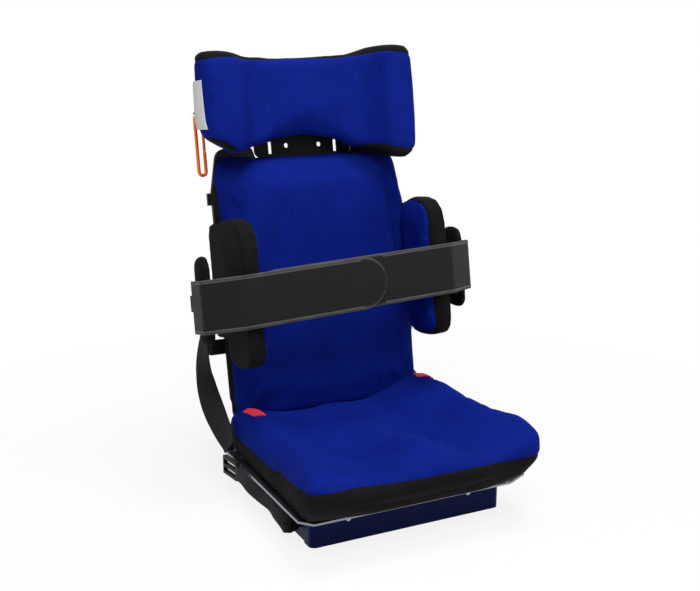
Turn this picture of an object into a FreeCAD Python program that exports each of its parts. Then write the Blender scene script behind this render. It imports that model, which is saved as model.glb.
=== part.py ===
# Child's postural support seat on a low steel base.
# The frame stands on the floor at the centre of the base bolts, with
# +Z up, +X to the right of the picture and the front of the seat at -Y.
# Back, headrest and side supports are drawn upright about the recline
# bolts and then lean back together by the recline angle.
import FreeCAD, Part
import math
import os
import Sketcher
from FreeCAD import Placement, Rotation, Vector

doc = FreeCAD.newDocument("SupportSeat")
sheet = doc.addObject("Spreadsheet::Sheet", "Sizes")

SIZES = [
    # Base of folded steel
    ("base_width", 322, "outside width of the front panel"),
    ("base_front", 155, "front panel ahead of the base bolts"),
    ("base_rear", 172, "rear wall behind the base bolts"),
    ("base_height", 50, "floor to the underside of the seat plate"),
    ("sheet_steel", 2, "gauge of the base steel"),
    ("fold_radius", 10, "outside radius of the panel folds"),
    ("panel_return", 24, "depth of the panel's side returns"),
    ("panel_clearance", 0.2, "gap between panel and tray"),
    ("mat_thick", 4, "rubber mat under the base"),
    ("mat_inset", 8, "mat edge inside the tray edge"),
    ("rim_width", 20, "top flange of the tray"),
    ("bolt_spacing", 200, "square pattern of the base bolts"),
    ("base_hole_radius", 4.25, "clearance for an M8 bolt"),
    ("web_slot_front", 116, "front end of the webbing slot"),
    ("web_slot_long", 36, "length of the webbing slot"),
    ("web_slot_low", 20, "webbing slot above the floor"),
    ("web_slot_tall", 14, "height of the webbing slot"),
    ("panel_screw_reach", 102, "panel screws from the middle"),
    ("panel_screw_level", 40, "panel screws above the floor"),
    ("small_screw", 2, "radius of the panel screws"),
    ("small_head", 3.8, "radius of the panel screw heads"),
    # Seat plate
    ("plate_flat", 332, "flat width of the seat plate"),
    ("plate_wing", 25, "width of the turned-up sides"),
    ("plate_front", 177, "seat plate ahead of the base bolts"),
    ("plate_rear", 124, "seat plate behind the base bolts"),
    ("plate_gauge", 3, "seat plate thickness"),
    ("plate_fold", 12, "bend radius of the plate and brackets"),
    ("plate_rise", 10, "rise of the turned-up sides"),
    ("plate_bolt_edge", 13.8, "seat plate bolts inside the tray edge"),
    ("plate_bolt_front", 120, "front seat plate bolts"),
    ("plate_bolt_rear", 100, "rear seat plate bolts"),
    ("plate_bolt", 3, "radius of the seat plate bolts"),
    ("bolt_clearance", 0.3, "gap round a bolt in a plain hole"),
    # Seat cushion
    ("seat_width", 376, "seat cushion width"),
    ("seat_front", 237, "front of the seat cushion"),
    ("seat_rear", 134, "rear of the seat cushion"),
    ("seat_rim", 79, "side rims above the seat plate"),
    ("seat_seam", 41, "side seam above the seat plate"),
    ("seat_channel", 22, "depth of the thigh channels"),
    ("seat_pommel", 13, "rise between the thighs"),
    ("soft_gap", 0.4, "gap under and beside soft parts"),
    # Recline hinge
    ("recline", 10, "lean of the back in degrees"),
    ("hinge_y", 156, "recline bolts behind the base bolts"),
    ("hinge_z", 60, "recline bolts above the floor"),
    ("pivot_radius", 5, "radius of the recline bolts"),
    ("running_gap", 0.05, "gap of a turning fit"),
    ("side_gap", 0.3, "gap beside a moving plate"),
    ("ear_thick", 4, "hinge ear thickness"),
    ("ear_radius", 13, "rounded end of the hinge ear"),
    ("arm_thick", 5, "back arm thickness"),
    ("arm_end_radius", 11, "rounded end of the back arm"),
    ("arm_rise", 176, "back arm above the recline bolts"),
    ("arm_flange", 30, "flange of the back arm"),
    ("arm_depth", 22, "back arm behind the shell"),
    # Back shell and cushion
    ("shell_width", 336, "back shell width"),
    ("shell_front", 15, "shell front ahead of the recline bolts"),
    ("shell_thick", 7, "shell thickness"),
    ("shell_bottom", 34, "shell bottom above the recline bolts"),
    ("shell_neck", 462, "top edge of the shell at the middle"),
    ("shell_top", 486, "top of the shell's shoulders"),
    ("back_width", 352, "back cushion width"),
    ("back_thick", 46, "back cushion at its crown"),
    ("back_bottom", 57, "back cushion bottom"),
    ("back_top", 466, "back cushion top"),
    # Side supports
    ("slot_reach", 110, "height slots from the middle"),
    ("slot_width", 10, "width of the height slots"),
    ("slot_low", 188, "lower end of the height slots"),
    ("slot_high", 302, "upper end of the height slots"),
    ("support_level", 245, "middle of the side supports"),
    ("support_shift", 7, "right support above and left support below the middle"),
    ("bar_height", 26, "side arm bar height"),
    ("bar_thick", 4, "side arm bar thickness"),
    ("slide_gap", 0.25, "gap round a sliding bar"),
    ("block_width", 56, "clamp block width"),
    ("block_height", 38, "clamp block height"),
    ("block_depth", 17, "clamp block depth"),
    ("pad_thick", 36, "side pad thickness"),
    ("pad_front", 168, "front edge of the side pads"),
    ("pad_depth", 105, "depth of the side pads"),
    ("pad_low", 143, "bottom of the side pads"),
    ("pad_high", 378, "top of the side pads"),
    ("tail_thick", 3.4, "pad cover beside the back cushion"),
    ("tail_top", 8, "top of the pad cover below the top of the pad"),
    ("tail_foot", 42, "bottom of the pad cover above the bottom of the pad"),
    ("elbow_gap", 39, "from the side pads out to the outer pads"),
    ("elbow_thick", 14, "outer pad thickness"),
    ("elbow_front", 135, "front edge of the outer pads"),
    ("elbow_low", 182, "bottom of the outer pads"),
    ("elbow_high", 326, "top of the outer pads"),
    ("elbow_rear", 90, "rear edge of the outer pads"),
    ("layer_gap", 0.6, "gap between strap layers and pads"),
    # Chest strap
    ("strap_height", 80, "chest strap height"),
    ("strap_thick", 3.2, "chest strap thickness"),
    ("strap_overlap", 57, "free end of the outer layer from the middle"),
    ("strap_inner_end", 170, "free end of the inner layer from the middle"),
    ("strap_level", 253.5, "middle of the chest strap"),
    ("strap_rear", 91, "rear ends of the chest strap"),
    ("strap_lap_drop", 2.5, "left half of the strap below the right half"),
    ("strap_left_fall", 8, "fall of the strap towards its left rear end"),
    ("strap_right_fall", 3, "fall of the strap towards its right rear end"),
    ("strap_tilt", 0.0487, "rise of the strap to the right over its width"),
    ("strap_clear", 3, "strap ahead of the side pads"),
    ("strap_corner", 13, "bend of the strap round the pads"),
    # Headrest
    ("stem_width", 40, "headrest stem width"),
    ("stem_thick", 8, "headrest stem thickness"),
    ("stem_front", 5, "stem front ahead of the recline bolts"),
    ("stem_low", 290, "stem bottom"),
    ("stem_high", 560, "stem top"),
    ("sleeve_low", 365, "stem sleeve bottom"),
    ("sleeve_high", 445, "stem sleeve top"),
    ("sleeve_wall", 4, "wall of the stem sleeve"),
    ("spacer_thick", 8, "spacer between stem and headrest plate"),
    ("head_plate_thick", 3, "headrest plate thickness"),
    ("head_plate_gap", 6, "headrest plate above the neck of the shell"),
    ("head_plate_clear", 10, "headrest plate above the shoulders of the shell"),
    ("head_plate_neck", 88, "half width of the plate's neck"),
    ("head_plate_wing", 130, "half width of the plate"),
    ("head_width", 390, "headrest width"),
    ("head_shift", 9, "headrest cushion to the left on its plate"),
    ("head_thick", 42, "headrest thickness"),
    ("head_low", 463, "bottom of the headrest wings"),
    ("head_arch", 506, "bottom of the headrest at the middle"),
    ("head_top", 636, "headrest top"),
    ("head_front", 108, "front of the headrest wings"),
    # Clamp knobs
    ("knob_radius", 17, "star knob radius"),
    ("knob_thick", 11, "star knob thickness"),
    ("knob_hub", 8.5, "star knob hub radius"),
    ("knob_notch", 4.5, "radius of the grips in a knob"),
    ("stud_radius", 4, "clamp stud radius"),
    # Webbing and belt hook
    ("web_width", 38, "upper webbing width"),
    ("low_web_width", 25, "lower webbing width"),
    ("web_thick", 1.8, "webbing thickness"),
    ("web_reach", 198, "webbing from the middle"),
    ("anchor_level", 162, "webbing anchors on the shell"),
    ("lock_long", 44, "length of the ladder lock"),
    ("lock_tall", 30, "height of the ladder lock"),
    ("lock_y", 69, "middle of the ladder lock behind the base bolts"),
    ("lock_z", 52, "middle of the ladder lock above the floor"),
    ("lock_turn", 8, "turn of the ladder lock in degrees"),
    ("lock_bar", 5, "bars of the ladder lock"),
    ("lock_thick", 7, "ladder lock thickness"),
    ("clip_level", 395, "small clips on the shell's edges"),
    ("hook_rod", 2.8, "radius of the belt hook rod"),
    ("hook_width", 12, "belt hook between rod centres"),
    ("hook_length", 96, "belt hook between rod centres"),
    ("hook_reach", 175, "belt hook from the middle"),
    ("hook_top", 541, "top rod of the belt hook"),
    ("gate_length", 52, "sprung gate of the belt hook"),
    ("gate_pin", 1.2, "radius of the pin of the gate"),
    ("gate_eye", 3.2, "radius of the eye of the gate"),
    ("loop_wide", 4, "width of the loop that carries the hook"),
]

for row, (name, number, note) in enumerate(SIZES, start=1):
    sheet.set("A%d" % row, name)
    sheet.set("B%d" % row, str(number))
    sheet.setAlias("B%d" % row, name)
    sheet.set("C%d" % row, note)
doc.recompute()


class Size:
    """A length that knows its number and its formula in the sheet."""

    def __init__(self, number, text):
        self.number = float(number)
        self.text = text

    def join(self, other, sign, number, left=False):
        text = other.text if isinstance(other, Size) else repr(float(other))
        pair = (text, self.text) if left else (self.text, text)
        return Size(number, "(%s %s %s)" % (pair[0], sign, pair[1]))

    def __add__(self, other):
        return self.join(other, "+", self.number + float(other))

    def __radd__(self, other):
        return self + other

    def __sub__(self, other):
        return self.join(other, "-", self.number - float(other))

    def __rsub__(self, other):
        return self.join(other, "-", float(other) - self.number, left=True)

    def __mul__(self, other):
        return self.join(other, "*", self.number * float(other))

    def __rmul__(self, other):
        return self * other

    def __truediv__(self, other):
        return self.join(other, "/", self.number / float(other))

    def __neg__(self):
        return self * -1

    def __float__(self):
        return self.number


class Sheet:
    """Reads a named size from the spreadsheet."""

    def __getattr__(self, name):
        return Size(sheet.get(name), "Sizes." + name)


S = Sheet()
LEFT, RIGHT = -1, 1
SIDES = (("left", LEFT), ("right", RIGHT))
subparts = []


def bind(obj, prop, size):
    if isinstance(size, Size):
        obj.setExpression(prop, size.text)
    else:
        obj.setExpression(prop, repr(float(size)))


def vec(x, y, z):
    return Vector(float(x), float(y), float(z))


def keep(obj, name):
    """Takes an object as a finished sub-part under its own name."""
    obj.Label = name
    subparts.append(obj)
    return obj


def lean(obj):
    """Sets an upright piece on the recline bolts and leans it back."""
    tilt = Rotation(Vector(-1, 0, 0), float(S.recline))
    obj.Placement = Placement(vec(0, S.hinge_y, S.hinge_z), tilt)
    bind(obj, ".Placement.Base.y", S.hinge_y)
    bind(obj, ".Placement.Base.z", S.hinge_z)
    bind(obj, ".Placement.Rotation.Angle", S.recline)
    return obj


# Solids from primitives

def box(name, low, high):
    obj = doc.addObject("Part::Box", name)
    for prop, a, b in zip(("Length", "Width", "Height"), low, high):
        bind(obj, prop, b - a)
    for prop, a in zip("xyz", low):
        bind(obj, ".Placement.Base." + prop, a)
    return obj


AXIS_TURN = {
    "x": Rotation(Vector(0, 1, 0), 90),
    "y": Rotation(Vector(1, 0, 0), -90),
    "z": Rotation(),
}


def rod(name, axis, start, length, radius):
    """A cylinder from start, along +X, +Y or +Z."""
    obj = doc.addObject("Part::Cylinder", name)
    obj.Placement = Placement(Vector(), AXIS_TURN[axis])
    bind(obj, "Radius", radius)
    bind(obj, "Height", length)
    for prop, a in zip("xyz", start):
        bind(obj, ".Placement.Base." + prop, a)
    return obj


# The hidden shanks and holes of fixed bolts are many, so they have flat
# sides; whatever turns or takes a pin is round.
HOLE_SIDES = 12


def prism(name, axis, start, length, radius, sides=6):
    """A bolt head, nut, shank or hole with flat sides from start, along
    +X, +Y or +Z."""
    obj = doc.addObject("Part::Prism", name)
    obj.Polygon = sides
    obj.Placement = Placement(Vector(), AXIS_TURN[axis])
    bind(obj, "Circumradius", radius)
    bind(obj, "Height", length)
    for prop, a in zip("xyz", start):
        bind(obj, ".Placement.Base." + prop, a)
    return obj


def fuse(name, pieces):
    obj = doc.addObject("Part::MultiFuse", name)
    obj.Shapes = pieces
    obj.Refine = True
    return obj


def group(name, pieces):
    obj = doc.addObject("Part::Compound", name)
    obj.Links = pieces
    return obj


def cut(name, base, tool):
    obj = doc.addObject("Part::Cut", name)
    obj.Base = base
    obj.Tool = tool
    obj.Refine = True
    return obj


# Solids from sketches

def new_body(name):
    return doc.addObject("PartDesign::Body", name)


def new_sketch(body, name, role, offset=None):
    sketch = body.newObject("Sketcher::SketchObject", name)
    planes = body.Origin.OriginFeatures
    plane = [p for p in planes if p.Role == role][0]
    sketch.AttachmentSupport = (plane, [""])
    sketch.MapMode = "FlatFace"
    if offset is not None:
        bind(sketch, "AttachmentOffset.Base.z", offset)
    return sketch


def pin_point(sketch, index, corner, point):
    """Ties one sketch point to its two sizes."""
    for kind, axis, size in (("DistanceX", -2, point[0]), ("DistanceY", -1, point[1])):
        if float(size) == 0 and not isinstance(size, Size):
            sketch.addConstraint(Sketcher.Constraint("PointOnObject", index, corner, axis))
            continue
        datum = Sketcher.Constraint(kind, -1, 1, index, corner, float(size))
        number = sketch.addConstraint(datum)
        if isinstance(size, Size):
            sketch.setExpression("Constraints[%d]" % number, size.text)


def draw_polygon(sketch, points):
    spots = [vec(x, y, 0) for x, y in points]
    first = sketch.GeometryCount
    count = len(spots)
    for i in range(count):
        line = Part.LineSegment(spots[i], spots[(i + 1) % count])
        sketch.addGeometry(line, False)
    for i in range(count):
        after = first + (i + 1) % count
        sketch.addConstraint(Sketcher.Constraint("Coincident", first + i, 2, after, 1))
    for i in range(count):
        pin_point(sketch, first + i, 1, points[i])


def draw_circle(sketch, point, radius):
    circle = Part.Circle(vec(point[0], point[1], 0), Vector(0, 0, 1), float(radius))
    index = sketch.addGeometry(circle, False)
    pin_point(sketch, index, 3, point)
    number = sketch.addConstraint(Sketcher.Constraint("Radius", index, float(radius)))
    if isinstance(radius, Size):
        sketch.setExpression("Constraints[%d]" % number, radius.text)


def pad(body, name, role, points, length, offset=None):
    """Pads a closed outline along the normal of its plane."""
    sketch = new_sketch(body, name + "_outline", role, offset)
    draw_polygon(sketch, points)
    feature = body.newObject("PartDesign::Pad", name)
    feature.Profile = sketch
    bind(feature, "Length", length)
    body.Tip = feature
    doc.recompute()
    return feature


def pad_circle(body, name, role, point, radius, length, offset=None):
    sketch = new_sketch(body, name + "_outline", role, offset)
    draw_circle(sketch, point, radius)
    feature = body.newObject("PartDesign::Pad", name)
    feature.Profile = sketch
    bind(feature, "Length", length)
    body.Tip = feature
    doc.recompute()
    return feature


def pierce(body, name, role, circles=(), outlines=()):
    """Cuts circles and outlines right through, both ways from a plane."""
    before = body.Shape.Volume
    sketch = new_sketch(body, name + "_outline", role)
    for point, radius in circles:
        draw_circle(sketch, point, radius)
    for points in outlines:
        draw_polygon(sketch, points)
    feature = body.newObject("PartDesign::Pocket", name)
    feature.Profile = sketch
    feature.Type = 1
    feature.Midplane = True
    body.Tip = feature
    doc.recompute()
    if not body.Shape.Volume < before - 1:
        raise RuntimeError(name + " cuts nothing")
    return feature


def flat_ring(point, radius):
    """Corners of a round that has flat sides."""
    corners = []
    for number in range(HOLE_SIDES):
        angle = 2 * math.pi * number / HOLE_SIDES
        across, along = round(math.cos(angle), 6), round(math.sin(angle), 6)
        corners.append((point[0] + radius * across if across else point[0],
                        point[1] + radius * along if along else point[1]))
    return corners


def upright_edges(shape, axis, spots):
    """Names the edges along one axis that stand on the given spots."""
    others = [i for i in range(3) if i != axis]
    names = []
    for number, edge in enumerate(shape.Edges, start=1):
        if not isinstance(edge.Curve, Part.Line):
            continue
        start, end = edge.Vertexes[0].Point, edge.Vertexes[-1].Point
        if abs(start[others[0]] - end[others[0]]) > 1e-6:
            continue
        if abs(start[others[1]] - end[others[1]]) > 1e-6:
            continue
        for spot in spots:
            near = abs(start[others[0]] - float(spot[0])) < 1e-4
            if near and abs(start[others[1]] - float(spot[1])) < 1e-4:
                names.append("Edge%d" % number)
    return names


def round_edges(body, name, axis, spots, radius):
    base = body.Tip
    names = upright_edges(base.Shape, axis, spots)
    if len(names) < len(spots):
        raise RuntimeError(name + " misses an edge")
    feature = body.newObject("PartDesign::Fillet", name)
    feature.Base = (base, names)
    bind(feature, "Radius", radius)
    body.Tip = feature
    doc.recompute()
    return feature


# Base

BASE_TOP = S.base_height
TRAY_HALF = S.base_width / 2 - S.sheet_steel - S.panel_clearance
TRAY_FRONT = S.base_front - S.sheet_steel - S.panel_clearance
PLATE_BOLT_REACH = TRAY_HALF - S.plate_bolt_edge


def base_bolt_spots():
    half = S.bolt_spacing / 2
    return [(sx * half, sy * half) for sx in (-1, 1) for sy in (-1, 1)]


def make_base_mat():
    body = new_body("base_mat")
    side = TRAY_HALF - S.mat_inset
    front = -(TRAY_FRONT - S.mat_inset)
    rear = S.base_rear - S.mat_inset
    corners = [(-side, front), (side, front), (side, rear), (-side, rear)]
    pad(body, "mat_sheet", "XY_Plane", corners, S.mat_thick)
    round_edges(body, "mat_corners", 2, corners, S.fold_radius)
    holes = [(spot, S.base_hole_radius) for spot in base_bolt_spots()]
    pierce(body, "mat_holes", "XY_Plane", holes)
    keep(body, "base_mat")


def make_base_tray():
    wall = S.sheet_steel
    inner = TRAY_HALF - wall
    outer = new_body("tray_block")
    corners = [(-TRAY_HALF, -TRAY_FRONT), (TRAY_HALF, -TRAY_FRONT),
               (TRAY_HALF, S.base_rear), (-TRAY_HALF, S.base_rear)]
    pad(outer, "tray_outside", "XY_Plane", corners, BASE_TOP - S.mat_thick, S.mat_thick)
    round_edges(outer, "tray_corners", 2, corners, S.fold_radius - wall)
    floor = S.mat_thick + wall
    room = box("tray_room", (-inner, wall - TRAY_FRONT, floor),
               (inner, S.base_rear - wall, BASE_TOP - wall))
    rim = TRAY_HALF - S.rim_width
    mouth = box("tray_mouth", (-rim, S.rim_width - TRAY_FRONT, floor),
                (rim, S.plate_rear, BASE_TOP + 1))
    rear_mouth = box("tray_rear_mouth", (-inner, S.plate_rear, floor),
                     (inner, S.base_rear - wall, BASE_TOP + 1))
    tools = [room, mouth, rear_mouth]
    for x, y in base_bolt_spots():
        tools.append(rod("tray_bolt_hole", "z", (x, y, 0), floor + 1, S.base_hole_radius))
    for name, side in SIDES:
        across = side * inner - wall * 2
        slot_low = (across, -S.web_slot_front, S.web_slot_low)
        slot_high = (across + wall * 4, S.web_slot_long - S.web_slot_front,
                     S.web_slot_low + S.web_slot_tall)
        tools.append(box("tray_web_slot_" + name, slot_low, slot_high))
        spot = (side * S.panel_screw_reach, -TRAY_FRONT - 1, S.panel_screw_level)
        tools.append(prism("tray_screw_hole_" + name, "y", spot, wall + 2,
                           S.small_screw + S.panel_clearance, HOLE_SIDES))
        for level in ear_bolt_levels():
            start = (across, S.hinge_y, level)
            tools.append(prism("tray_ear_hole_" + name, "x", start, wall * 4,
                               S.plate_bolt + S.panel_clearance, HOLE_SIDES))
        for y in (-S.plate_bolt_front, S.plate_bolt_rear):
            start = (side * PLATE_BOLT_REACH, y, BASE_TOP - wall - 1)
            tools.append(prism("tray_plate_hole_" + name, "z", start, wall + 2,
                               S.plate_bolt + S.bolt_clearance, HOLE_SIDES))
    keep(cut("base_tray", outer, fuse("tray_openings", tools)), "base_tray")


def ear_bolt_levels():
    low = S.mat_thick + S.sheet_steel + S.ear_radius
    return (low, S.base_height - S.ear_radius)


def make_front_panel():
    body = new_body("base_front_panel")
    half = S.base_width / 2
    inner = half - S.sheet_steel
    front = -S.base_front
    behind = S.sheet_steel - S.base_front
    end = S.panel_return - S.base_front
    outline = [(-half, end), (-half, front), (half, front), (half, end),
               (inner, end), (inner, behind), (-inner, behind), (-inner, end)]
    tall = BASE_TOP - S.mat_thick - S.panel_clearance
    pad(body, "panel_sheet", "XY_Plane", outline, tall, S.mat_thick)
    round_edges(body, "panel_folds", 2, [outline[1], outline[2]], S.fold_radius)
    inner_folds = [outline[5], outline[6]]
    round_edges(body, "panel_inner_folds", 2, inner_folds, S.fold_radius - S.sheet_steel)
    holes = [flat_ring((side * S.panel_screw_reach, S.panel_screw_level),
                       S.small_screw + S.panel_clearance) for _, side in SIDES]
    pierce(body, "panel_holes", "XZ_Plane", outlines=holes)
    keep(body, "base_front_panel")


def make_panel_screws():
    screws = []
    for name, side in SIDES:
        x, z = side * S.panel_screw_reach, S.panel_screw_level
        head_start = -S.base_front - S.small_head / 2
        head = rod("panel_screw_head_" + name, "y", (x, head_start, z), S.small_head / 2, S.small_head)
        shank = prism("panel_screw_shank_" + name, "y", (x, -S.base_front, z),
                      S.sheet_steel * 5, S.small_screw, HOLE_SIDES)
        screws.append(fuse("panel_screw_" + name, [head, shank]))
    keep(group("front_panel_screws", screws), "front_panel_screws")


def make_seat_plate():
    """A sheet pan whose sides turn up under the cushion."""
    body = new_body("seat_plate")
    half = S.plate_flat / 2
    edge = half + S.plate_wing
    top = BASE_TOP + S.plate_gauge
    rise = S.plate_rise
    outline = [(-half, BASE_TOP), (half, BASE_TOP), (edge, BASE_TOP + rise),
               (edge - 1, top + rise), (half - 1, top), (1 - half, top),
               (1 - edge, top + rise), (-edge, BASE_TOP + rise)]
    pad(body, "plate_sheet", "XZ_Plane", outline, S.plate_front + S.plate_rear, -S.plate_rear)
    bends = [outline[0], outline[1], outline[4], outline[5]]
    round_edges(body, "plate_bends", 1, bends, S.plate_fold)
    holes = [flat_ring((side * PLATE_BOLT_REACH, y), S.plate_bolt + S.running_gap)
             for _, side in SIDES for y in (-S.plate_bolt_front, S.plate_bolt_rear)]
    pierce(body, "plate_holes", "XY_Plane", outlines=holes)
    keep(body, "seat_plate")


def make_seat_plate_bolts():
    bolts = []
    under = BASE_TOP - S.sheet_steel
    head_tall = S.plate_bolt * 1.3
    for name, side in SIDES:
        for y in (-S.plate_bolt_front, S.plate_bolt_rear):
            x = side * PLATE_BOLT_REACH
            head = prism("plate_bolt_head", "z", (x, y, under - head_tall), head_tall,
                           S.plate_bolt * 1.8)
            long = S.sheet_steel + S.plate_gauge - S.panel_clearance
            shank = prism("plate_bolt_shank", "z", (x, y, under), long, S.plate_bolt, HOLE_SIDES)
            bolts.append(fuse("plate_bolt_" + name, [head, shank]))
    keep(group("seat_plate_bolts", bolts), "seat_plate_bolts")


# Soft parts, drawn as lofts through lines and shallow arcs

def soft_part(name, shape, leans=True):
    obj = doc.addObject("Part::Feature", name)
    obj.Shape = shape
    if leans:
        lean(obj)
    keep(obj, name)
    return obj


ARC_STEPS = 3
SEW_TOLERANCE = 0.0001


def chain(points):
    """The spots of a closed outline: a single spot ends a line, a pair
    is an arc's middle and end, drawn as short straight steps."""
    ring = [points[0][-1]]
    for step in points[1:]:
        if len(step) == 1:
            ring.append(step[0])
            continue
        arc = Part.Arc(ring[-1], step[0], step[1])
        first, last = arc.FirstParameter, arc.LastParameter
        for number in range(1, ARC_STEPS + 1):
            ring.append(arc.value(first + (last - first) * number / ARC_STEPS))
    if (ring[-1] - ring[0]).Length < 1e-6:
        ring.pop()
    return ring


def loft(rings):
    """A solid of flat facets through rings that have as many spots."""
    faces = []
    for before, after in zip(rings, rings[1:]):
        for i in range(len(before)):
            j = (i + 1) % len(before)
            for corners in ((before[i], before[j], after[j]), (before[i], after[j], after[i])):
                faces.append(Part.Face(Part.makePolygon(list(corners) + [corners[0]])))
    for ring in (rings[0], rings[-1]):
        faces.append(Part.Face(Part.makePolygon(ring + ring[:1])))
    skin = Part.Compound(faces)
    skin.sewShape(SEW_TOLERANCE)
    solid = Part.makeSolid(skin.Shells[0])
    if solid.Volume < 0:
        solid.reverse()
    return solid


def bulged_box(origin, across, up, half_width, low, high, corner, crown):
    """A four-sided section with rounded corners and slightly full sides."""
    def spot(u, v):
        return origin + across * u + up * v
    w, c = half_width, corner
    k = c * (1 - math.sqrt(0.5))
    mid = (low + high) / 2
    return chain([
        (spot(-w + c, low),),
        (spot(0, low - crown), spot(w - c, low)),
        (spot(w - k, low + k), spot(w, low + c)),
        (spot(w + crown, mid), spot(w, high - c)),
        (spot(w - k, high - k), spot(w - c, high)),
        (spot(0, high + crown), spot(-w + c, high)),
        (spot(-w + k, high - k), spot(-w, high - c)),
        (spot(-w - crown, mid), spot(-w, low + c)),
        (spot(-w + k, low + k), spot(-w + c, low)),
    ])


def seat_section(y, half, low, seam, rim, channel, middle):
    """One slice across the seat cushion at a given depth."""
    inset = min(34.0, half * 0.25)
    knee = half * 0.2
    foot = half - 26.0
    waist = half - 3.0
    lift = low + (seam - low) * 0.45

    def spot(x, z):
        return Vector(x, y, z)

    crest = rim - 1.0
    cheek = (seam + crest) / 2 + 4
    return chain([
        (spot(-foot, low),),
        (spot(foot, low),),
        (spot(half - 12, low + (lift - low) * 0.35), spot(waist, lift)),
        (spot(waist + 0.8, (lift + seam) / 2), spot(half - 3, seam)),
        (spot(half - 4, cheek), spot(half - inset, crest)),
        (spot(half * 0.5, channel), spot(knee, middle - 3)),
        (spot(0, middle), spot(-knee, middle - 3)),
        (spot(-half * 0.5, channel), spot(inset - half, crest)),
        (spot(4 - half, cheek), spot(3 - half, seam)),
        (spot(-waist - 0.8, (lift + seam) / 2), spot(-waist, lift)),
        (spot(12 - half, low + (lift - low) * 0.35), spot(-foot, low)),
    ])


def make_seat_cushion():
    half = float(S.seat_width) / 2
    deck = float(BASE_TOP + S.plate_gauge + S.soft_gap)
    seam = deck + float(S.seat_seam)
    rim = deck + float(S.seat_rim)
    dish = float(S.seat_channel)
    rise = float(S.seat_pommel)
    front = -float(S.seat_front)
    rear = float(S.seat_rear)
    # depth from the front, side inset, bottom lift, rim fall, seam lift,
    # share of the channel, share of the pommel
    slices = [
        (0, 30, 38, 24, 14, 0.15, 0.2),
        (7, 13, 32, 12, 12, 0.35, 0.4),
        (24, 4, 20, 3, 9, 0.7, 0.8),
        (58, 1, 4, -2, 4, 1.0, 1.0),
        (110, 0, 0, 0, 0, 1.0, 0.9),
        (190, 0, 0, 1, 0, 0.95, 0.1),
        (280, 0, 0, 1, 0, 1.0, -0.4),
        (340, 1, 0, 6, 0, 0.7, -0.2),
        (rear - front - 8, 5, 2, 15, 0, 0.35, 0.0),
        (rear - front, 14, 8, 25, 0, 0.2, 0.0),
    ]
    wires = []
    for depth, inset, lift, fall, tuck, hollow, pommel in slices:
        channel = rim - fall - dish * hollow
        middle = channel + rise * pommel + dish * hollow * 0.25
        wires.append(seat_section(front + depth, half - inset, deck + lift, seam + tuck,
                                  rim - fall, channel, middle))
    soft_part("seat_cushion", loft(wires), leans=False)


# Recline hinge

ARM_OUTSIDE = TRAY_HALF - S.sheet_steel - S.ear_thick - S.side_gap


def make_hinge_ears():
    for name, side in SIDES:
        body = new_body("hinge_ear_" + name)
        low = S.mat_thick + S.sheet_steel
        front, rear = S.hinge_y - S.ear_radius, S.hinge_y + S.ear_radius
        top = S.hinge_z + S.ear_radius
        corners = [(front, low), (rear, low), (rear, top), (front, top)]
        wall = TRAY_HALF - S.sheet_steel
        start = wall - S.ear_thick if side == RIGHT else -wall
        pad(body, "ear_plate", "YZ_Plane", corners, S.ear_thick, start)
        round_edges(body, "ear_end", 0, corners[2:], S.ear_radius - S.side_gap)
        bore = ((S.hinge_y, S.hinge_z), S.pivot_radius + S.running_gap)
        holes = [flat_ring((S.hinge_y, level), S.plate_bolt + S.panel_clearance)
                 for level in ear_bolt_levels()]
        pierce(body, "ear_holes", "YZ_Plane", [bore], holes)
        keep(body, "hinge_ear_" + name)


def make_ear_bolts():
    bolts = []
    long = S.sheet_steel + S.ear_thick
    head_tall = S.plate_bolt
    for name, side in SIDES:
        for level in ear_bolt_levels():
            outer = side * TRAY_HALF
            inner = side * (TRAY_HALF - long)
            shank_start = inner if side == RIGHT else outer
            head_start = outer if side == RIGHT else outer - head_tall
            nut_start = inner - head_tall if side == RIGHT else inner
            shank = prism("ear_bolt_shank", "x", (shank_start, S.hinge_y, level), long,
                          S.plate_bolt, HOLE_SIDES)
            head = prism("ear_bolt_head", "x", (head_start, S.hinge_y, level), head_tall,
                           S.plate_bolt * 1.8)
            nut = prism("ear_bolt_nut", "x", (nut_start, S.hinge_y, level), head_tall,
                          S.plate_bolt * 1.7)
            bolts.append(fuse("ear_bolt_" + name, [shank, head, nut]))
    keep(group("ear_bolts", bolts), "ear_bolts")


def make_recline_bolts():
    bolts = []
    head_tall = S.pivot_radius
    inner = ARM_OUTSIDE - S.arm_thick - S.side_gap
    outer = TRAY_HALF + hub_height() + S.knob_thick - S.side_gap
    for name, side in SIDES:
        shank_start = inner if side == RIGHT else -outer
        head_start = inner - head_tall if side == RIGHT else -inner
        shank = rod("recline_shank", "x", (shank_start, S.hinge_y, S.hinge_z), outer - inner,
                    S.pivot_radius)
        head = prism("recline_head", "x", (head_start, S.hinge_y, S.hinge_z), head_tall,
                       S.pivot_radius * 1.7)
        bolts.append(fuse("recline_bolt_" + name, [shank, head]))
    keep(group("recline_bolts", bolts), "recline_bolts")


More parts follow.
